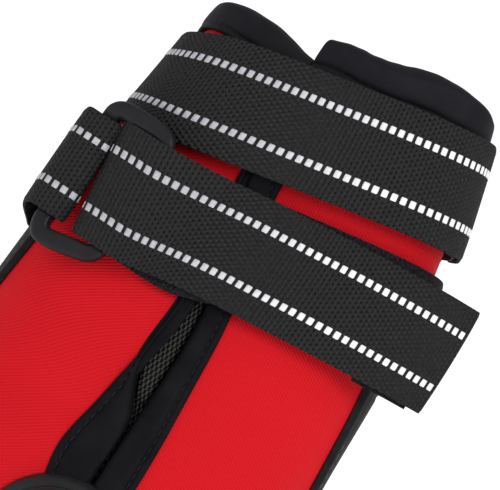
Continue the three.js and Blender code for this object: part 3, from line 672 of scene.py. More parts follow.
def side_direction(y, z):
    """Direction of the side's point with this y, by repetition for its height share."""
    height = z / collar_height + 0 * y
    for _ in range(10):
        _, half_length, middle, _, square, rake = section_at(height)
        cosine = signed_power(np.clip((middle - y) / half_length, -0.999, 0.999), square / 2)
        height = z / collar_height + rake * (1 - cosine) / 2
    return direction_of(np.arccos(np.clip(cosine, -1, 1)), height)


def counter_part():
    """A sheet from the front edge at +X round the back to the one at -X. The face dips at the
    stitch line and rolls over at its edges."""
    columns, rows = 260, 60
    round_share = np.linspace(0, 1, columns)[:, None]
    up_share = np.linspace(0, 1, rows)[None, :]
    z = counter_low + up_share * (counter_top - counter_low) + 0 * round_share
    for _ in range(5):
        front = side_direction(smooth_table(counter_front[:, 0], counter_front[:, 1:], z)[..., 0], z)
        direction = front + round_share * (2 * np.pi - 2 * front)
        y = shell_point(direction, z)[..., 1]
        z = counter_low + up_share * (counter_heights(y) - counter_low)
    from_edge = np.minimum(round_share, 1 - round_share) * (2 * np.pi - 2 * front) * heel_round
    from_top = (1 - up_share) * (counter_top - counter_low)
    near = np.minimum(from_edge, from_top)
    rolled = counter_thickness * np.sqrt(np.clip(1 - (1 - np.clip(near / 0.9, 0, 1)) ** 2, 0, 1))
    roll = 0.28 * np.exp(-((near - 1.0) / 0.7) ** 2) - 0.22 * np.exp(-((near - wrap_seam) / 0.35) ** 2)
    soft = np.clip(crease_at(direction, z), -0.2, 0.5)
    face = shell_point(direction, z, fit + 0.05 + rolled + roll + soft)
    back = shell_point(direction, z, fit + soft)
    return sheet_part(face, back)


make_piece("heel_wrap", [counter_part()], [coated], ["heel_counter"])


def stitch_row(places, outwards, length, radius=0.19):
    """Stitches between each pair of points of a seam: a round thread that dips into the cloth
    at both ends. Each is a ring of six corners carried along six stations, its ends closed."""
    lengthwise = np.diff(places, axis=0)
    run = np.linalg.norm(lengthwise, axis=1)
    lengthwise /= run[:, None]
    stations = np.array([-1, -0.8, -0.3, 0.3, 0.8, 1]) / 2
    dips = np.array([-0.28, -0.08, 0.0, 0.0, -0.08, -0.28])
    widths = np.array([0.3, 0.9, 1.0, 1.0, 0.9, 0.3])
    corners = np.arange(6) * np.pi / 3
    middle = (places[1:] + places[:-1]) / 2
    up = (outwards[1:] + outwards[:-1]) / 2
    side = np.cross(lengthwise, up)
    line = middle[:, None] + (stations * length)[None, :, None] * lengthwise[:, None]
    line = line + dips[None, :, None] * up[:, None]
    ring = np.cos(corners)[None, :, None] * side[:, None] + np.sin(corners)[None, :, None] * up[:, None]
    points = line[:, :, None] + radius * widths[None, :, None, None] * ring[:, None]
    ends = np.stack([line[:, 0], line[:, -1]], 1)[:, :, None].repeat(6, 2)
    points = np.concatenate([ends[:, :1], points, ends[:, 1:]], 1)
    return [round_part(stitch) for stitch in points]


def even_steps(points, step):
    """Row positions, as fractions of the row number, at even steps along a line of points."""
    length = np.concatenate([[0], np.cumsum(np.linalg.norm(np.diff(points, axis=0), axis=1))])
    wanted = np.arange(step / 2, length[-1] - step / 2, step)
    return np.interp(wanted, length, np.arange(len(points)))


def at_rows(points, rows):
    """Points of a line at row positions that may fall between its rows."""
    whole = np.arange(len(points))
    return np.stack([np.interp(rows, whole, points[:, k]) for k in range(3)], -1)


def sew_along(seam, outer, step, length):
    """Stitches at even steps along a seam; outer is the same seam moved out from the cloth."""
    rows = even_steps(seam, step)
    outward = at_rows(outer - seam, rows)
    outward /= np.linalg.norm(outward, axis=1, keepdims=True)
    return stitch_row(at_rows(seam, rows), outward, length)


def wrap_stitches():
    """One row of stitches in the dip behind each front edge of the wrap."""
    parts = []
    z = np.linspace(counter_low + 2.5, 66, 90)
    front = side_direction(smooth_table(counter_front[:, 0], counter_front[:, 1:], z)[..., 0], z)
    for side in (1, -1):
        direction = side * (front + wrap_seam / heel_round)
        seam = shell_point(direction, z, fit + 0.9)
        parts += sew_along(seam, shell_point(direction, z, fit + 1.9), wrap_step, wrap_stitch)
    return parts


grey_thread = new_material("grey_thread", (0.06, 0.06, 0.065), 0.6)[0]
make_piece("wrap_stitches", wrap_stitches(), [grey_thread])

# Toe bumper. A moulded rubber tongue cemented up the front of the toe, with a raised rim round a
# flat field. Only the top of its arch shows in the photograph; its foot runs down to the sole.
bumper_rubber = rubber_material("bumper_rubber", (0.010, 0.010, 0.011), (0.022, 0.021, 0.023), 0.36)
bumper_field = rubber_material("bumper_field", (0.012, 0.006, 0.007), (0.022, 0.010, 0.011), 0.6)
bumper_radius = 15.8
bumper_top = 36.2
bumper_foot = 27.0
rim_width = 2.2
rim_rise = 1.0
bumper_centre = bumper_top - bumper_radius


def bumper_outline(samples):
    """Outline in the front view from foot to foot: a flank, the arch and the other flank."""
    shoulder = math.radians(78)
    arch = np.linspace(-shoulder, shoulder, samples)
    curve = np.stack([np.sin(arch), np.cos(arch)], -1) * bumper_radius + (0, bumper_centre)
    steps = np.linspace(0, 1, 24, endpoint=False)[:, None]
    foot = np.array([bumper_foot, counter_low])
    left = np.array([-1, 1]) * foot * (1 - steps) + curve[0] * steps
    right = (foot * (1 - steps) + curve[-1] * steps)[::-1]
    return np.vstack([left, curve, right])


def bumper_part():
    """Rows drawn in from the outline by even steps over the rim, then straight to the foot line."""
    outline = bumper_outline(90)
    along = np.gradient(outline, axis=0)
    inward = np.stack([along[:, 1], -along[:, 0]], -1)
    inward /= np.linalg.norm(inward, axis=1, keepdims=True)
    depths = np.array([0.0, 0.12, 0.35, 0.7, 1.1, 1.5, 1.85, 2.05, 2.2, 2.4, 2.8])
    rim_end = 8  # the last of these columns that lies on the rim
    rings = outline[:, None] + depths[None, :, None] * inward[:, None]
    foot_x = np.linspace(-bumper_foot, bumper_foot, len(outline))
    foot = np.stack([foot_x, np.full(len(outline), counter_low)], -1)
    shares = np.linspace(0, 1, 9)[1:]
    field = rings[:, -1:] * (1 - shares)[None, :, None] + foot[:, None] * shares[None, :, None]
    flat = np.concatenate([rings, field], 1)
    flat[..., 1] = np.maximum(flat[..., 1], counter_low)
    inset = np.concatenate([depths, np.full(len(shares), 9.0)])[None, :]
    rim_height = ramp_up(inset, -0.1, 0.6) * (1 - ramp_up(inset, rim_width - 0.7, rim_width + 0.15))
    edge = 0.35 + 0.65 * ramp_up(inset, -0.1, 0.3)
    over_tape = ramp_up(flat[..., 1], 21, 27) * (1 - ramp_up(np.abs(flat[..., 0]), 9, 14))
    face = front_point(flat[..., 0], flat[..., 1], fit + edge + rim_rise * rim_height + 1.1 * over_tape)
    back = front_point(flat[..., 0], flat[..., 1], fit + 0 * inset)
    part = sheet_part(face, back)
    across = flat.shape[1]
    column = part[1][:, 0] % (2 * across)
    part[3][(column > rim_end) & (column < across - 1)] = 1
    return part


make_piece("toe_tongue", [bumper_part()], [bumper_rubber, bumper_field], ["toe_bumper"])

# Split tapes. Soft black stretch tape folded over each edge of the front split and sewn down
# with one row of black thread, so that it puffs a little between the stitches and the fold.
tape, tape_tree, tape_shader = new_material("stretch_tape", (0.012, 0.012, 0.014), 0.62, 0.08)
tape_where = place_in(tape_tree)
tape_knit = noise_of(tape_tree, tape_where, 2400, 2)
tape_patch = noise_of(tape_tree, tape_where, 160, 4)
# Painted light: the tape is painted lighter from 104 to 118 mm up, where the collar and the top of the split
# catch more light. The slow patches under it are random tone.
tape_place = node(tape_tree, "ShaderNodeSeparateXYZ", {0: tape_where}).outputs["Z"]
tape_top_painted_light = node(tape_tree, "ShaderNodeMapRange", {0: tape_place, 1: 0.104, 2: 0.118, 3: 0.0, 4: 0.6})
tape_patches_and_painted_light = sum_of(tape_tree, "ADD", tape_patch, tape_top_painted_light.outputs[0])
tone_into(tape_tree, tape_shader, tape_patches_and_painted_light, (0.003, 0.003, 0.004), (0.015, 0.015, 0.019), 0.3, 1.5)
tape_soft = bump_into(tape_tree, tape_shader, tape_patch, 0.35)
bump_into(tape_tree, tape_shader, tape_knit, 0.05, below=tape_soft)
thread = new_material("black_thread", (0.006, 0.006, 0.007), 0.6, 0.25)[0]

split_top_angle = -7.2  # where the split meets the collar, in degrees
split_top_half = 0.8
plain_width = 4.2  # a narrower tape has its profile drawn in
tape_seam = 1.75  # from the free edge to the stitches
stitch_step = 2.1
stitch_length = 1.5
collar_tape_height = 6.3

# The tape's two sides across its width: millimetres from the fold, share of the tape's width
# and offset from the last. The face runs from the free edge over the fold to the inner edge.
tape_face = np.array([
    (0.0, 1.0, 0.42), (-0.12, 1.0, 0.72), (-0.4, 1.0, 1.0), (-0.9, 1.0, 1.16), (-1.45, 1.0, 1.05),
    (-1.75, 1.0, 0.88), (-2.1, 1.0, 1.12), (-2.8, 1.0, 1.42), (0.0, 0.5, 1.5), (1.4, 0.0, 1.4),
    (0.75, 0.0, 1.12), (0.3, 0.0, 0.6), (0.08, 0.0, -0.1), (0.0, 0.0, -1.0), (0.08, 0.0, -1.9),
    (0.35, 0.0, -2.6), (0.9, 0.0, -3.05), (1.6, 0.0, -3.2), (4.6, 0.0, -3.15), (5.2, 0.0, -2.9),
    (5.4, 0.0, -2.6),
])
tape_back = np.array([
    (0.0, 1.0, 0.3), (-0.12, 1.0, 0.3), (-0.4, 1.0, 0.3), (-0.9, 1.0, 0.3), (-1.45, 1.0, 0.3),
    (-1.75, 1.0, 0.3), (-2.1, 1.0, 0.3), (-2.8, 1.0, 0.3), (0.0, 0.5, 0.3), (1.5, 0.0, 0.3),
    (1.15, 0.0, 0.27), (1.0, 0.0, 0.1), (0.92, 0.0, -0.3), (0.9, 0.0, -1.0), (0.92, 0.0, -1.7),
    (1.0, 0.0, -2.1), (1.15, 0.0, -2.27), (1.6, 0.0, -2.3), (4.6, 0.0, -2.3), (5.2, 0.0, -2.3),
    (5.4, 0.0, -2.35),
])


def tape_profile(table, width, samples=60):
    """Distance from the fold and offset at even steps across, for each width along the tape."""
    at = np.linspace(0, len(table) - 1, samples)
    from_fold, of_width, offset = smooth_table(np.arange(len(table), dtype=float), table, at).T
    width = np.asarray(width)[..., None]
    squashed = np.clip(width / plain_width, 0, 1)
    near_fold = np.where(from_fold > 0, 0.35 + 0.65 * squashed, squashed)
    return from_fold * np.where(offset > 0.3, near_fold, 1) + of_width * width, offset + 0 * width


def waviness(along, phase):
    """Slow unevenness of hand-fed tape, from three sines of unlike lengths, in millimetres."""
    return (
        0.10 * np.sin(along / 1.9 + phase)
        + 0.08 * np.sin(along / 4.3 + 2.1 * phase)
        + 0.12 * np.sin(along / 9.7 + 0.7 * phase)
    )


def outside_share(offset):
    """0 on the tape's inner side and fold, and 1 on its outer face."""
    return ramp_up(offset, 0.5, 1.4)


tape_low = split_foot + 0.2


def split_tape(column_out, column_in, side, phase):
    """Tape carried up one edge of the split from the toe to just under the collar's tape."""
    steps = 230
    angle = math.radians(split_top_angle + side * split_top_half)
    top = float(rim_at(np.array(direction_of(angle, 1.0)) + (2 * np.pi if side < 0 else 0)))
    z = np.linspace(tape_low, top - collar_tape_height - fit, steps)
    fold = split_at(z, column_in)
    width = np.abs(split_at(z, column_out) - fold)
    grids = []
    for table in (tape_face, tape_back):
        distance, offset = tape_profile(table, width)
        wave = waviness(z[:, None] + 0.3 * distance, phase) * outside_share(offset)
        x = fold[:, None] + side * distance
        relief = np.clip(crease_at(np.arctan2(x, 20.0), z[:, None]), -0.2, 0.3)
        grids.append(front_point(x, z[:, None] + 0 * distance, offset + wave + relief))
    seam_x = fold + side * (width - tape_seam * np.clip(width / plain_width, 0, 1))
    seam = front_point(seam_x, z, 0.98 + 0 * z)
    outer = front_point(seam_x, z, 1.98 + 0 * z)
    return sheet_part(*grids), sew_along(seam, outer, stitch_step, stitch_length)


left_tape, left_stitches = split_tape("left_out", "left_in", -1, 0.4)
right_tape, right_stitches = split_tape("right_out", "right_in", 1, 1.9)
make_piece("split_tape_left", [left_tape], [tape], ["split_binding_left"], sharp=60)
make_piece("split_tape_right", [right_tape], [tape], ["split_binding_right"], sharp=60)
make_piece("split_stitches", left_stitches + right_stitches, [thread])

# Collar tape. The same tape folded over the collar's edge, parted at the split, with its row of
# stitches near its lower edge.
collar_deeper = 1.1  # the tape reaches lower at the right front
collar_flare = 0.9  # and stands out from the leg there


def collar_tape():
    """Tape carried round the collar's edge from the split's right side to its left side."""
    steps = 420
    top = collar_height - 3.0
    right = float(direction_of(*front_angle(np.array(split[-1, 3] * foot_width), np.array(top))))
    left = float(direction_of(*front_angle(np.array(split[-1, 2] * foot_width), np.array(top))))
    direction = np.linspace(right, left + 2 * np.pi, steps)
    edge = rim_at(direction)
    around = 36 * direction
    deeper = collar_deeper * np.exp(-(((direction - 0.95) / 0.6) ** 2))
    flare = collar_flare * np.exp(-(((direction - 1.25) / 0.5) ** 2))
    grids = []
    for table in (tape_face, tape_back):
        distance, offset = tape_profile(table, collar_tape_height + turn_in + deeper)
        wave = waviness(around[:, None] + 0.2 * distance, 0.9) * outside_share(offset)
        z = edge[:, None] + turn_in - distance + 0.35 * waviness(1.7 * around[:, None], 2.4)
        grids.append(shell_point(direction[:, None] + 0 * z, z, offset + 0.7 * wave + flare[:, None]))
    seam_z = edge - collar_tape_height + tape_seam
    seam = shell_point(direction, seam_z, 0.98 + flare)
    outer = shell_point(direction, seam_z, 1.98 + flare)
    return sheet_part(*grids), sew_along(seam, outer, stitch_step, stitch_length)


collar_part, collar_stitches = collar_tape()
make_piece("collar_tape", [collar_part], [tape], ["collar_binding"], sharp=60)
make_piece("collar_stitches", collar_stitches, [thread])

# Gusset. Black woven elastic sewn behind the split under both tapes, its yarns crossing in small
# diamonds. It lets the split gape, and bulges a little where it does.
gusset_cloth, gusset_tree, gusset_shader = new_material("woven_elastic", (0.012, 0.012, 0.012), 0.7, 0.1)
gusset_u, gusset_v = cloth_uv(gusset_tree)
gusset_rise = half_wave(gusset_tree, gusset_u, gusset_v, 0.9, math.radians(62))
gusset_fall = half_wave(gusset_tree, gusset_u, gusset_v, 0.9, math.radians(-62))
gusset_yarn = sum_of(gusset_tree, "MULTIPLY", gusset_rise, gusset_fall)
tone_into(gusset_tree, gusset_shader, gusset_yarn, (0.002, 0.002, 0.002), (0.062, 0.064, 0.057), 0.76, 1.0)
bump_into(gusset_tree, gusset_shader, gusset_yarn, 0.25)
gusset_width = 24.0
gusset_thickness = 1.0
gusset_top = collar_height - 4.5
gusset_offset = -wall - fit - tape_thickness - fit


def gusset_part():
    """A sheet behind the split, its middle leaning with it; where the split gapes, the elastic
    bulges between the tapes by 2.2 * (1 - q ** 6), with q the share from the gap's middle."""
    across = np.linspace(-1, 1, 81)[None, :]
    z = np.linspace(tape_low, gusset_top, 150)[:, None]
    lean = -0.089 * foot_width * ramp_up(z, 65, 110)
    x = lean + across * gusset_width / 2 + 0 * z
    left, right = split_at(z, "left_in"), split_at(z, "right_in")
    q = np.clip((x - (left + right) / 2) / np.maximum((right - left) / 2, 0.1), -1, 1)
    full = 0.25 * (1 - across**2) + 2.2 * (1 - q**6) * ramp_up(right - left, 1.2, 4.0)
    face = front_point(x, z, gusset_offset + full - fit)
    back = front_point(x, z, gusset_offset + full - fit - gusset_thickness)
    return sheet_part(face, back, np.stack([x, z + 0 * x], -1))


make_piece("elastic_gusset", [gusset_part()], [gusset_cloth], ["gusset"])

# Straps. Black 25 mm webbing in a coarse basket weave, with two rows of silver reflective dashes
# woven in. Each is looped round its ring's far bar, runs round the back, through the ring and
# back over itself; the lower one's end stands clear of the boot's side.
webbing_width = 25.0
webbing_thickness = 1.2
ply_gap = 0.35
strap_lift = 1.6
hook_thickness = 0.7
ring_bar = 4.0
ring_thickness = 3.2
ring_opening = 11.0
free_end = 26.0  # past the last row on the upper
free_crease = 17.0
dash_rows = 6.4
dash_pitch = 2.05
dash_length = 1.32
dash_width = 1.62
dash_rise = 0.13
dash_root = 0.2  # how deep a dash reaches into the webbing
bar_pass = ring_thickness / 2 + fit + webbing_thickness / 2

# Each strap: height of its front middle as a share of collar_height, slope to the side, fall to
# the back in degrees, droop of the outer ply, climb of the under ply and way round; then, in
# degrees, the ring's place and turn, the loop's place and the outer ply's end. The ring's lean
# is in millimetres.
lower = dict(
    height=0.676, slope=0.1, fall=20, droop=0.033, climb=0.07, way=1,
    ring_angle=-25, ring_turn=20, ring_lean=2.0, loop_angle=-83, over_end=27,
)
upper = dict(
    height=0.893, slope=0.2, fall=17, droop=0.0, climb=0.0, way=-1,
    ring_angle=126, ring_turn=33, ring_lean=0.0, loop_angle=166, over_end=-128,
)


def strap_plane(strap):
    """Origin on the front of the last and unit normal of the plane that a strap lies in."""
    origin = last_point(0.0, strap["height"])
    normal = np.array([-strap["slope"], math.tan(math.radians(strap["fall"])), 1.0])
    return origin, normal / np.linalg.norm(normal)


def strap_point(strap, angle, offset, rise):
    """Point of the last at an angle and offset that lies this far above the strap's plane; the
    height share is halved in on."""
    origin, normal = strap_plane(strap)
    angle, offset, rise = np.broadcast_arrays(angle, offset, rise)
    low = np.full(angle.shape, 0.2)
    high = np.full(angle.shape, 1.5)
    for _ in range(32):
        middle = (low + high) / 2
        above = (last_point(angle, middle, offset) - origin) @ normal > rise
        high = np.where(above, middle, high)
        low = np.where(above, low, middle)
    return last_point(angle, (low + high) / 2, offset)


def ring_frame(strap):
    """The ring's centre, its axes along the strap, up the boot and outwards, and its bars' place."""
    seat = strap_lift + webbing_thickness + fit + ring_thickness / 2
    reach = webbing_width / 2
    angle = math.radians(strap["ring_angle"])
    drop = strap["droop"] * abs(strap_point(strap, angle, seat, 0.0)[0])
    low = strap_point(strap, angle, seat, -reach - drop)
    high = strap_point(strap, angle, seat + strap["ring_lean"], reach - drop)
    up = (high - low) / np.linalg.norm(high - low)
    turn = math.radians(strap["ring_turn"])
    along = np.array([math.cos(turn), -math.sin(turn), 0.0])
    along -= up * (along @ up)
    along /= np.linalg.norm(along)
    out = np.cross(along, up) * strap["way"]
    bar = ring_opening / 2 + ring_bar / 2
    return (low + high) / 2 - along * bar, along, up, out, bar


def stations_between(strap, first, last, step=3.0):
    """Angles from one to another at even directions, seen from the section's middle."""
    height = strap["height"]
    ends = []
    for angle in (first, last):
        turn = math.radians(angle)
        whole = 2 * np.pi * round(angle / 360)
        ends.append(float(direction_of(turn, height)) + whole)
    count = max(3, int(abs(ends[1] - ends[0]) / math.radians(step)))
    return angle_towards(np.linspace(ends[0], ends[1], count), height)


def strap_surface(strap, shares, over_lift):
    """Centre surface of one length of webbing: rows along it and one column for each share of
    its width. Rows on the upper come from the last, and rows at the bars from the ring's axes;
    smooth spans through them are cut at even lengths."""
    centre, along, up, out, bar = ring_frame(strap)
    rises = shares * webbing_width
    under = strap_lift + webbing_thickness / 2
    near = strap["ring_angle"] + strap["way"] * 14

    def at_ring(pairs, skew=0.0, squeeze=1.0):
        """Rows at pairs of places from the ring's middle: along the strap and outwards."""
        u, w = np.array(pairs).T[:, :, None, None]
        u = u - skew * (shares[None, :, None] + 0.5)
        drawn = np.where(rises > 0, squeeze, 0.97 if squeeze < 1 else 1.0) * rises
        return centre + u * along + w * out + drawn[None, :, None] * up

    def on_upper(angles, offsets, climb, droop):
        """Rows on the last at these angles, drawn in near the left side, climbing or drooping."""
        angles, offsets = angles[:, None], offsets[:, None]
        x = strap_point(strap, angles, offsets, 0 * angles)[..., 0]
        if strap is upper:
            side = np.exp(-(((x + 40) / 10) ** 2))
            offsets = offsets - 1.2 * side - 0.6 * side * (0.5 - shares[None])
            drawn = (1 - 0.12 * side) * rises[None]
        else:
            side = np.exp(-(((x + 45) / 9) ** 2))
            drawn = (1 - np.where(rises > 0, -0.02, 0.22) * side) * rises[None]
        droop = droop * (x < 0)
        low_band = (climb > 0) * 2.7 * np.exp(-(((x + 19) / 15) ** 2)) * (angles % (2 * np.pi) > 5)
        return strap_point(strap, angles, offsets, drawn + climb * x - low_band - droop * np.abs(x))

    loop = at_ring([
        (-bar - 3.4, -bar_pass + 0.5), (-bar, -bar_pass), (-bar + 2, -bar_pass + 0.2),
        (-4.2, -1.4), (-3.7, 0.0), (-4.2, 1.4), (-bar + 2, bar_pass - 0.2), (-bar, bar_pass),
        (-bar - 1.4, bar_pass), (-bar - 4, bar_pass - 1.1),
    ], squeeze=0.92 if strap is lower else 0.96)
    way = strap["way"]
    back_angles = stations_between(strap, strap["loop_angle"] - way * 6, near - way * 360 + way * 6)
    back = on_upper(back_angles, np.full(len(back_angles), under), strap["climb"], 0.0)
    turn = at_ring([
        (bar + 1, -bar_pass), (bar - 3.4, -bar_pass + 0.2), (1.6, -1.9), (0.3, -1.0), (-0.1, 0.0),
        (0.3, 1.0), (1.6, 1.9), (bar - 3.4, bar_pass - 0.2), (bar, bar_pass),
        (bar + 3.4, bar_pass - 0.2),
    ], skew=3.5 * (strap is lower), squeeze=1.05 if strap is lower else 1.0)
    over_angles = stations_between(strap, near + way * 4, strap["over_end"])
    over_offset = under + webbing_thickness + ply_gap + over_lift(np.degrees(over_angles))
    over = on_upper(over_angles, over_offset, 0.0, strap["droop"])
    return [loop, back, turn, over]


shares = np.sin(np.linspace(-1, 1, 17) * np.pi / 2) * 0.5
row_step = 0.8


def even_rows(groups):
    """Smooth spans through all rows, cut at even lengths of the middle column. Also gives the
    length along the webbing at which each group of rows begins."""
    rows = np.concatenate(groups)
    middle = rows[:, rows.shape[1] // 2]
    knots = np.concatenate([[0], np.cumsum(np.linalg.norm(np.diff(middle, axis=0), axis=1))])
    lengths = np.arange(0, knots[-1], row_step)
    surface = smooth_table(knots, rows.reshape(len(rows), -1), lengths)
    starts = knots[np.cumsum([0] + [len(g) for g in groups[:-1]])]
    return surface.reshape(len(lengths), rows.shape[1], 3), lengths, starts


def run_on(surface, normal, length, crease_at, crease_turn):
    """Carries the webbing on from its last row: its run turns back by 12 degrees in all, and once
    more at a crease, and is summed step by step."""
    last, before = surface[-1], surface[-3]
    way = last[len(last) // 2] - before[len(last) // 2]
    way -= normal * (way @ normal)
    way /= np.linalg.norm(way)
    side = np.cross(normal, way)
    steps = np.arange(row_step, length, row_step)
    turn = np.radians(12 * steps / length + crease_turn * ramp_up(steps, crease_at - 1, crease_at + 1))
    ahead = np.cumsum(np.cos(turn))[:, None] * way + np.cumsum(np.sin(turn))[:, None] * side
    return np.concatenate([surface, last[None] + row_step * ahead[:, None]])


def surface_normals(surface):
    """Unit normals: the cross product of the surface's slopes along and across."""
    along = np.gradient(surface, axis=0)
    across = np.gradient(surface, axis=1)
    normals = np.cross(along, across)
    return normals / np.linalg.norm(normals, axis=-1, keepdims=True)


def webbing_part(surface, lengths):
    """The sheet about its centre surface: full thickness in the middle, rounded selvedges."""
    normals = surface_normals(surface)
    half = webbing_thickness / 2 * np.sqrt(1 - np.abs(2 * shares) ** 10 * 0.8)
    selvedge = 0.08 * np.exp(-(((np.abs(shares) * webbing_width - 11.6) / 0.5) ** 2))
    depth = (half + selvedge)[None, :, None]
    spread = np.stack(np.broadcast_arrays(lengths[:, None], shares[None] * webbing_width), -1)
    return sheet_part(surface + depth * normals, surface - depth * normals, spread)


def dash_parts(surface, lengths, side, first, last):
    """Plates of reflective yarn, proud of one face: each a closed block of four by four points
    laid on the webbing between its rows."""
    normals = surface_normals(surface)
    raised = webbing_thickness / 2
    starts = np.arange(first, last, dash_pitch)
    local = np.array([-0.5, -0.42, 0.42, 0.5])
    outermost = np.abs(local) > 0.45
    pull = np.where(outermost[:, None] & outermost[None, :], 0.84, 1.0)[None]
    rise = np.where(outermost[:, None] | outermost[None, :], 0.02, dash_rise)[None, :, :, None]
    parts = []
    for row in (-dash_rows, dash_rows):
        along = starts[:, None, None] + dash_length * local[None, :, None] * pull
        across = row + dash_width * local[None, None, :] * pull + 0 * along
        i = np.interp(along, lengths, np.arange(len(lengths)))
        j = np.interp(across, shares * webbing_width, np.arange(len(shares)))
        low_i = np.clip(i.astype(int), 0, len(lengths) - 2)
        low_j = np.clip(j.astype(int), 0, len(shares) - 2)
        s, t = (i - low_i)[..., None], (j - low_j)[..., None]

        def sample(grid):
            near = grid[low_i, low_j] * (1 - t) + grid[low_i, low_j + 1] * t
            far = grid[low_i + 1, low_j] * (1 - t) + grid[low_i + 1, low_j + 1] * t
            return near * (1 - s) + far * s

        place, normal = sample(surface), side * sample(normals)
        faces = place + (raised + rise) * normal
        backs = place + (raised - dash_root) * normal
        parts += [sheet_part(face, back) for face, back in zip(faces, backs)]
    return parts


webbing, webbing_tree, webbing_shader = new_material("basket_webbing", (0.016, 0.016, 0.017), 0.8, 0.1)
webbing_u, webbing_v = cloth_uv(webbing_tree)
weave_rib = half_wave(webbing_tree, webbing_u, webbing_v, 1.025, math.radians(90))
weave_knot = half_wave(webbing_tree, webbing_u, webbing_v, 1.0, math.radians(30))
weave_cross = half_wave(webbing_tree, webbing_u, webbing_v, 1.0, math.radians(-30))
weave_crossing = sum_of(webbing_tree, "MULTIPLY", weave_knot, weave_cross)
weave = sum_of(
    webbing_tree,
    "ADD",
    sum_of(webbing_tree, "MULTIPLY", weave_rib, 0.4),
    sum_of(webbing_tree, "MULTIPLY", weave_crossing, 0.9),
)
webbing_where = place_in(webbing_tree)
webbing_fuzz = noise_of(webbing_tree, webbing_where, 1500, 3, 0.7)
weave_fuzzed = sum_of(webbing_tree, "MULTIPLY", weave, sum_of(webbing_tree, "ADD", webbing_fuzz, 0.45))
webbing_dark = (0.0005, 0.0005, 0.0005)
webbing_light = (0.036, 0.036, 0.0375)
tone_into(webbing_tree, webbing_shader, weave_fuzzed, webbing_dark, webbing_light, 0.38, 1.0)
bump_into(webbing_tree, webbing_shader, weave_fuzzed, 0.6)

silver, silver_tree, silver_shader = new_material("reflective_yarn", (0.78, 0.78, 0.8), 0.45)
silver_where = place_in(silver_tree)
silver_grain = noise_of(silver_tree, silver_where, 1400, 3)
# Painted highlight: the dashes are painted whiter towards +X, where the key light from the right makes the
# reflective yarn shine, and greyer towards -X. The fine grain on it is random tone.
silver_side = node(silver_tree, "ShaderNodeSeparateXYZ", {0: silver_where}).outputs[0]
silver_painted_highlight = node(silver_tree, "ShaderNodeMapRange", {0: silver_side, 1: -0.015, 2: 0.025}).outputs[0]
silver_grain_and_painted_highlight = sum_of(silver_tree, "MULTIPLY_ADD", silver_grain, 0.6, silver_painted_highlight)
tone_into(silver_tree, silver_shader, silver_grain_and_painted_highlight, (0.42, 0.42, 0.46), (0.9, 0.9, 0.92), 0.2, 1.2)
bump_into(silver_tree, silver_shader, silver_grain, 0.08)

pile, pile_tree, pile_shader = new_material("hook_pile", (0.008, 0.008, 0.01), 0.9, 0.1)
pile_where = place_in(pile_tree)
pile_grain = noise_of(pile_tree, pile_where, 1800, 3)
tone_into(pile_tree, pile_shader, pile_grain, (0.004, 0.004, 0.005), (0.028, 0.028, 0.034), 0.35, 0.75)
bump_into(pile_tree, pile_shader, pile_grain, 0.5)

lower_groups = strap_surface(
    lower, shares, lambda angle: (hook_thickness + fit) * ramp_up(angle, 10, 26)
)
lower_surface, _, lower_starts = even_rows(lower_groups)
lower_surface = run_on(lower_surface, strap_plane(lower)[1], free_end, free_crease, 9.0)
lower_lengths = row_step * np.arange(len(lower_surface))
lower_part = webbing_part(lower_surface, lower_lengths)
lower_row, lower_column = np.divmod(lower_part[1][:, 0], 2 * len(shares))
# The under ply's outer face has pile on it from 75 to 4 mm before the ring.
to_ring = lower_starts[2] - lower_row * row_step
piled = (to_ring > 4) & (to_ring < 75)
lower_part[3][piled & (lower_column >= len(shares) - 1)] = 1
make_piece("lower_webbing", [lower_part], [webbing, pile], ["strap_lower"], sharp=60)
over_start = lower_starts[2] + 8
over_last = lower_lengths[-1] - 1.6
over_first = over_start + (over_last - over_start) % dash_pitch
make_piece(
    "lower_dashes",
    dash_parts(lower_surface, lower_lengths, -1, 6.0, lower_starts[2])
    + dash_parts(lower_surface, lower_lengths, 1, over_first, over_last + 0.1),
    [silver],
    sharp=60,
)

upper_groups = strap_surface(upper, shares, lambda angle: 0 * angle)
upper_surface, upper_lengths, upper_starts = even_rows(upper_groups)
upper_part = webbing_part(upper_surface, upper_lengths)
make_piece("upper_webbing", [upper_part], [webbing], ["strap_upper"], sharp=60)
make_piece(
    "upper_dashes",
    dash_parts(upper_surface, upper_lengths, 1, 6.0, upper_starts[2])
    + dash_parts(upper_surface, upper_lengths, -1, upper_starts[2] + 9, upper_lengths[-1] - 1.5),
    [silver],
    sharp=60,
)

# Hook patch. A thin strip of black hook tape sewn under the lower strap's free end, a little
# lower than the webbing and shorter.
hook_drop = 0.7
hook_short = 3.5
hook_reach = 19.0  # from its inner end to the webbing's end


def hook_part():
    """The last rows of the webbing, moved in under it by half of both thicknesses and the fit."""
    rows = int(hook_reach / row_step)
    cut = int(hook_short / row_step)
    surface = lower_surface[-rows:-cut]
    normals = surface_normals(lower_surface)[-rows:-cut]
    across = surface[:, -1:] - surface[:, :1]
    across = across / np.linalg.norm(across, axis=-1, keepdims=True)
    inner = normals * (webbing_thickness / 2 + 0.1)
    face = surface - across * hook_drop - inner
    return sheet_part(face, face - normals * hook_thickness)


make_piece("hook_strip", [hook_part()], [pile], ["hook_patch"])

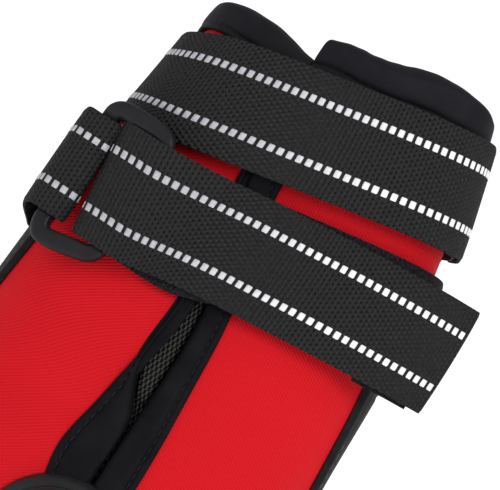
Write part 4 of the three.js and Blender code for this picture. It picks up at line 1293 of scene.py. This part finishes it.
# Rings. Matt black moulded acetal, a bowed rectangle with broad rounded end bars, one for each
# strap; the webbing's loop holds it.
acetal, acetal_tree, acetal_shader = new_material("acetal", (0.02, 0.02, 0.022), 0.42, 0.2)
acetal_where = place_in(acetal_tree)
acetal_grain = noise_of(acetal_tree, acetal_where, 1500, 2)
acetal_patch = noise_of(acetal_tree, acetal_where, 200, 3)
tone_into(acetal_tree, acetal_shader, acetal_patch, (0.008, 0.008, 0.010), (0.014, 0.014, 0.017), 0.3, 0.7)
bump_into(acetal_tree, acetal_shader, acetal_grain, 0.04)
ring_bulge = 0.9
ring_bow = 0.9  # how far the end bars stand out past the side bars
ring_corner = 2.2  # how far the lower ring's far lower corner is drawn down


def ring_part(strap):
    """A closed band between an inner and an outer superellipse, its section rounded: the same
    direction is taken on both, and the section runs round between them."""
    centre, along, up, out, bar = ring_frame(strap)
    direction = np.linspace(0, 2 * np.pi, 160, endpoint=False)[:, None]
    section = np.linspace(0, 2 * np.pi, 28, endpoint=False)[None, :]

    def edge(half_u, half_v, square):
        """Distance from the middle to a superellipse in each direction."""
        radius = (np.abs(np.cos(direction) / half_u) ** square + np.abs(np.sin(direction) / half_v) ** square)
        return radius ** (-1 / square)

    inner = edge(ring_opening / 2, (webbing_width + fit) / 2, 14)
    outer = edge(bar + ring_bar / 2, (webbing_width + fit) / 2 + ring_bar - 0.7, 5.5)
    share = 0.5 + 0.5 * signed_power(np.cos(section), 2 / 3.2)
    radius = inner + (outer - inner) * share
    height = ring_thickness / 2 * signed_power(np.sin(section), 2 / 3.2)
    u, v = radius * np.cos(direction), radius * np.sin(direction)
    fullness = 1 - (u / (bar + ring_bar / 2)) ** 2
    v = v + ring_bulge * share * np.sign(v) * fullness * ramp_up(np.abs(v), 8, 14)
    if strap is lower:
        v = v - ring_corner * ramp_up(-v, 4, 13) * ramp_up(-u, -8, 9)
    bowed = height + ring_bow * ramp_up(np.abs(v), 11, 14)
    points = centre + u[..., None] * along + v[..., None] * up + bowed[..., None] * out
    return round_part(points, wrap_rows=True)


make_piece("lower_ring", [ring_part(lower)], [acetal], ["ring_lower"], sharp=60)
make_piece("upper_ring", [ring_part(upper)], [acetal], ["ring_upper"], sharp=60)
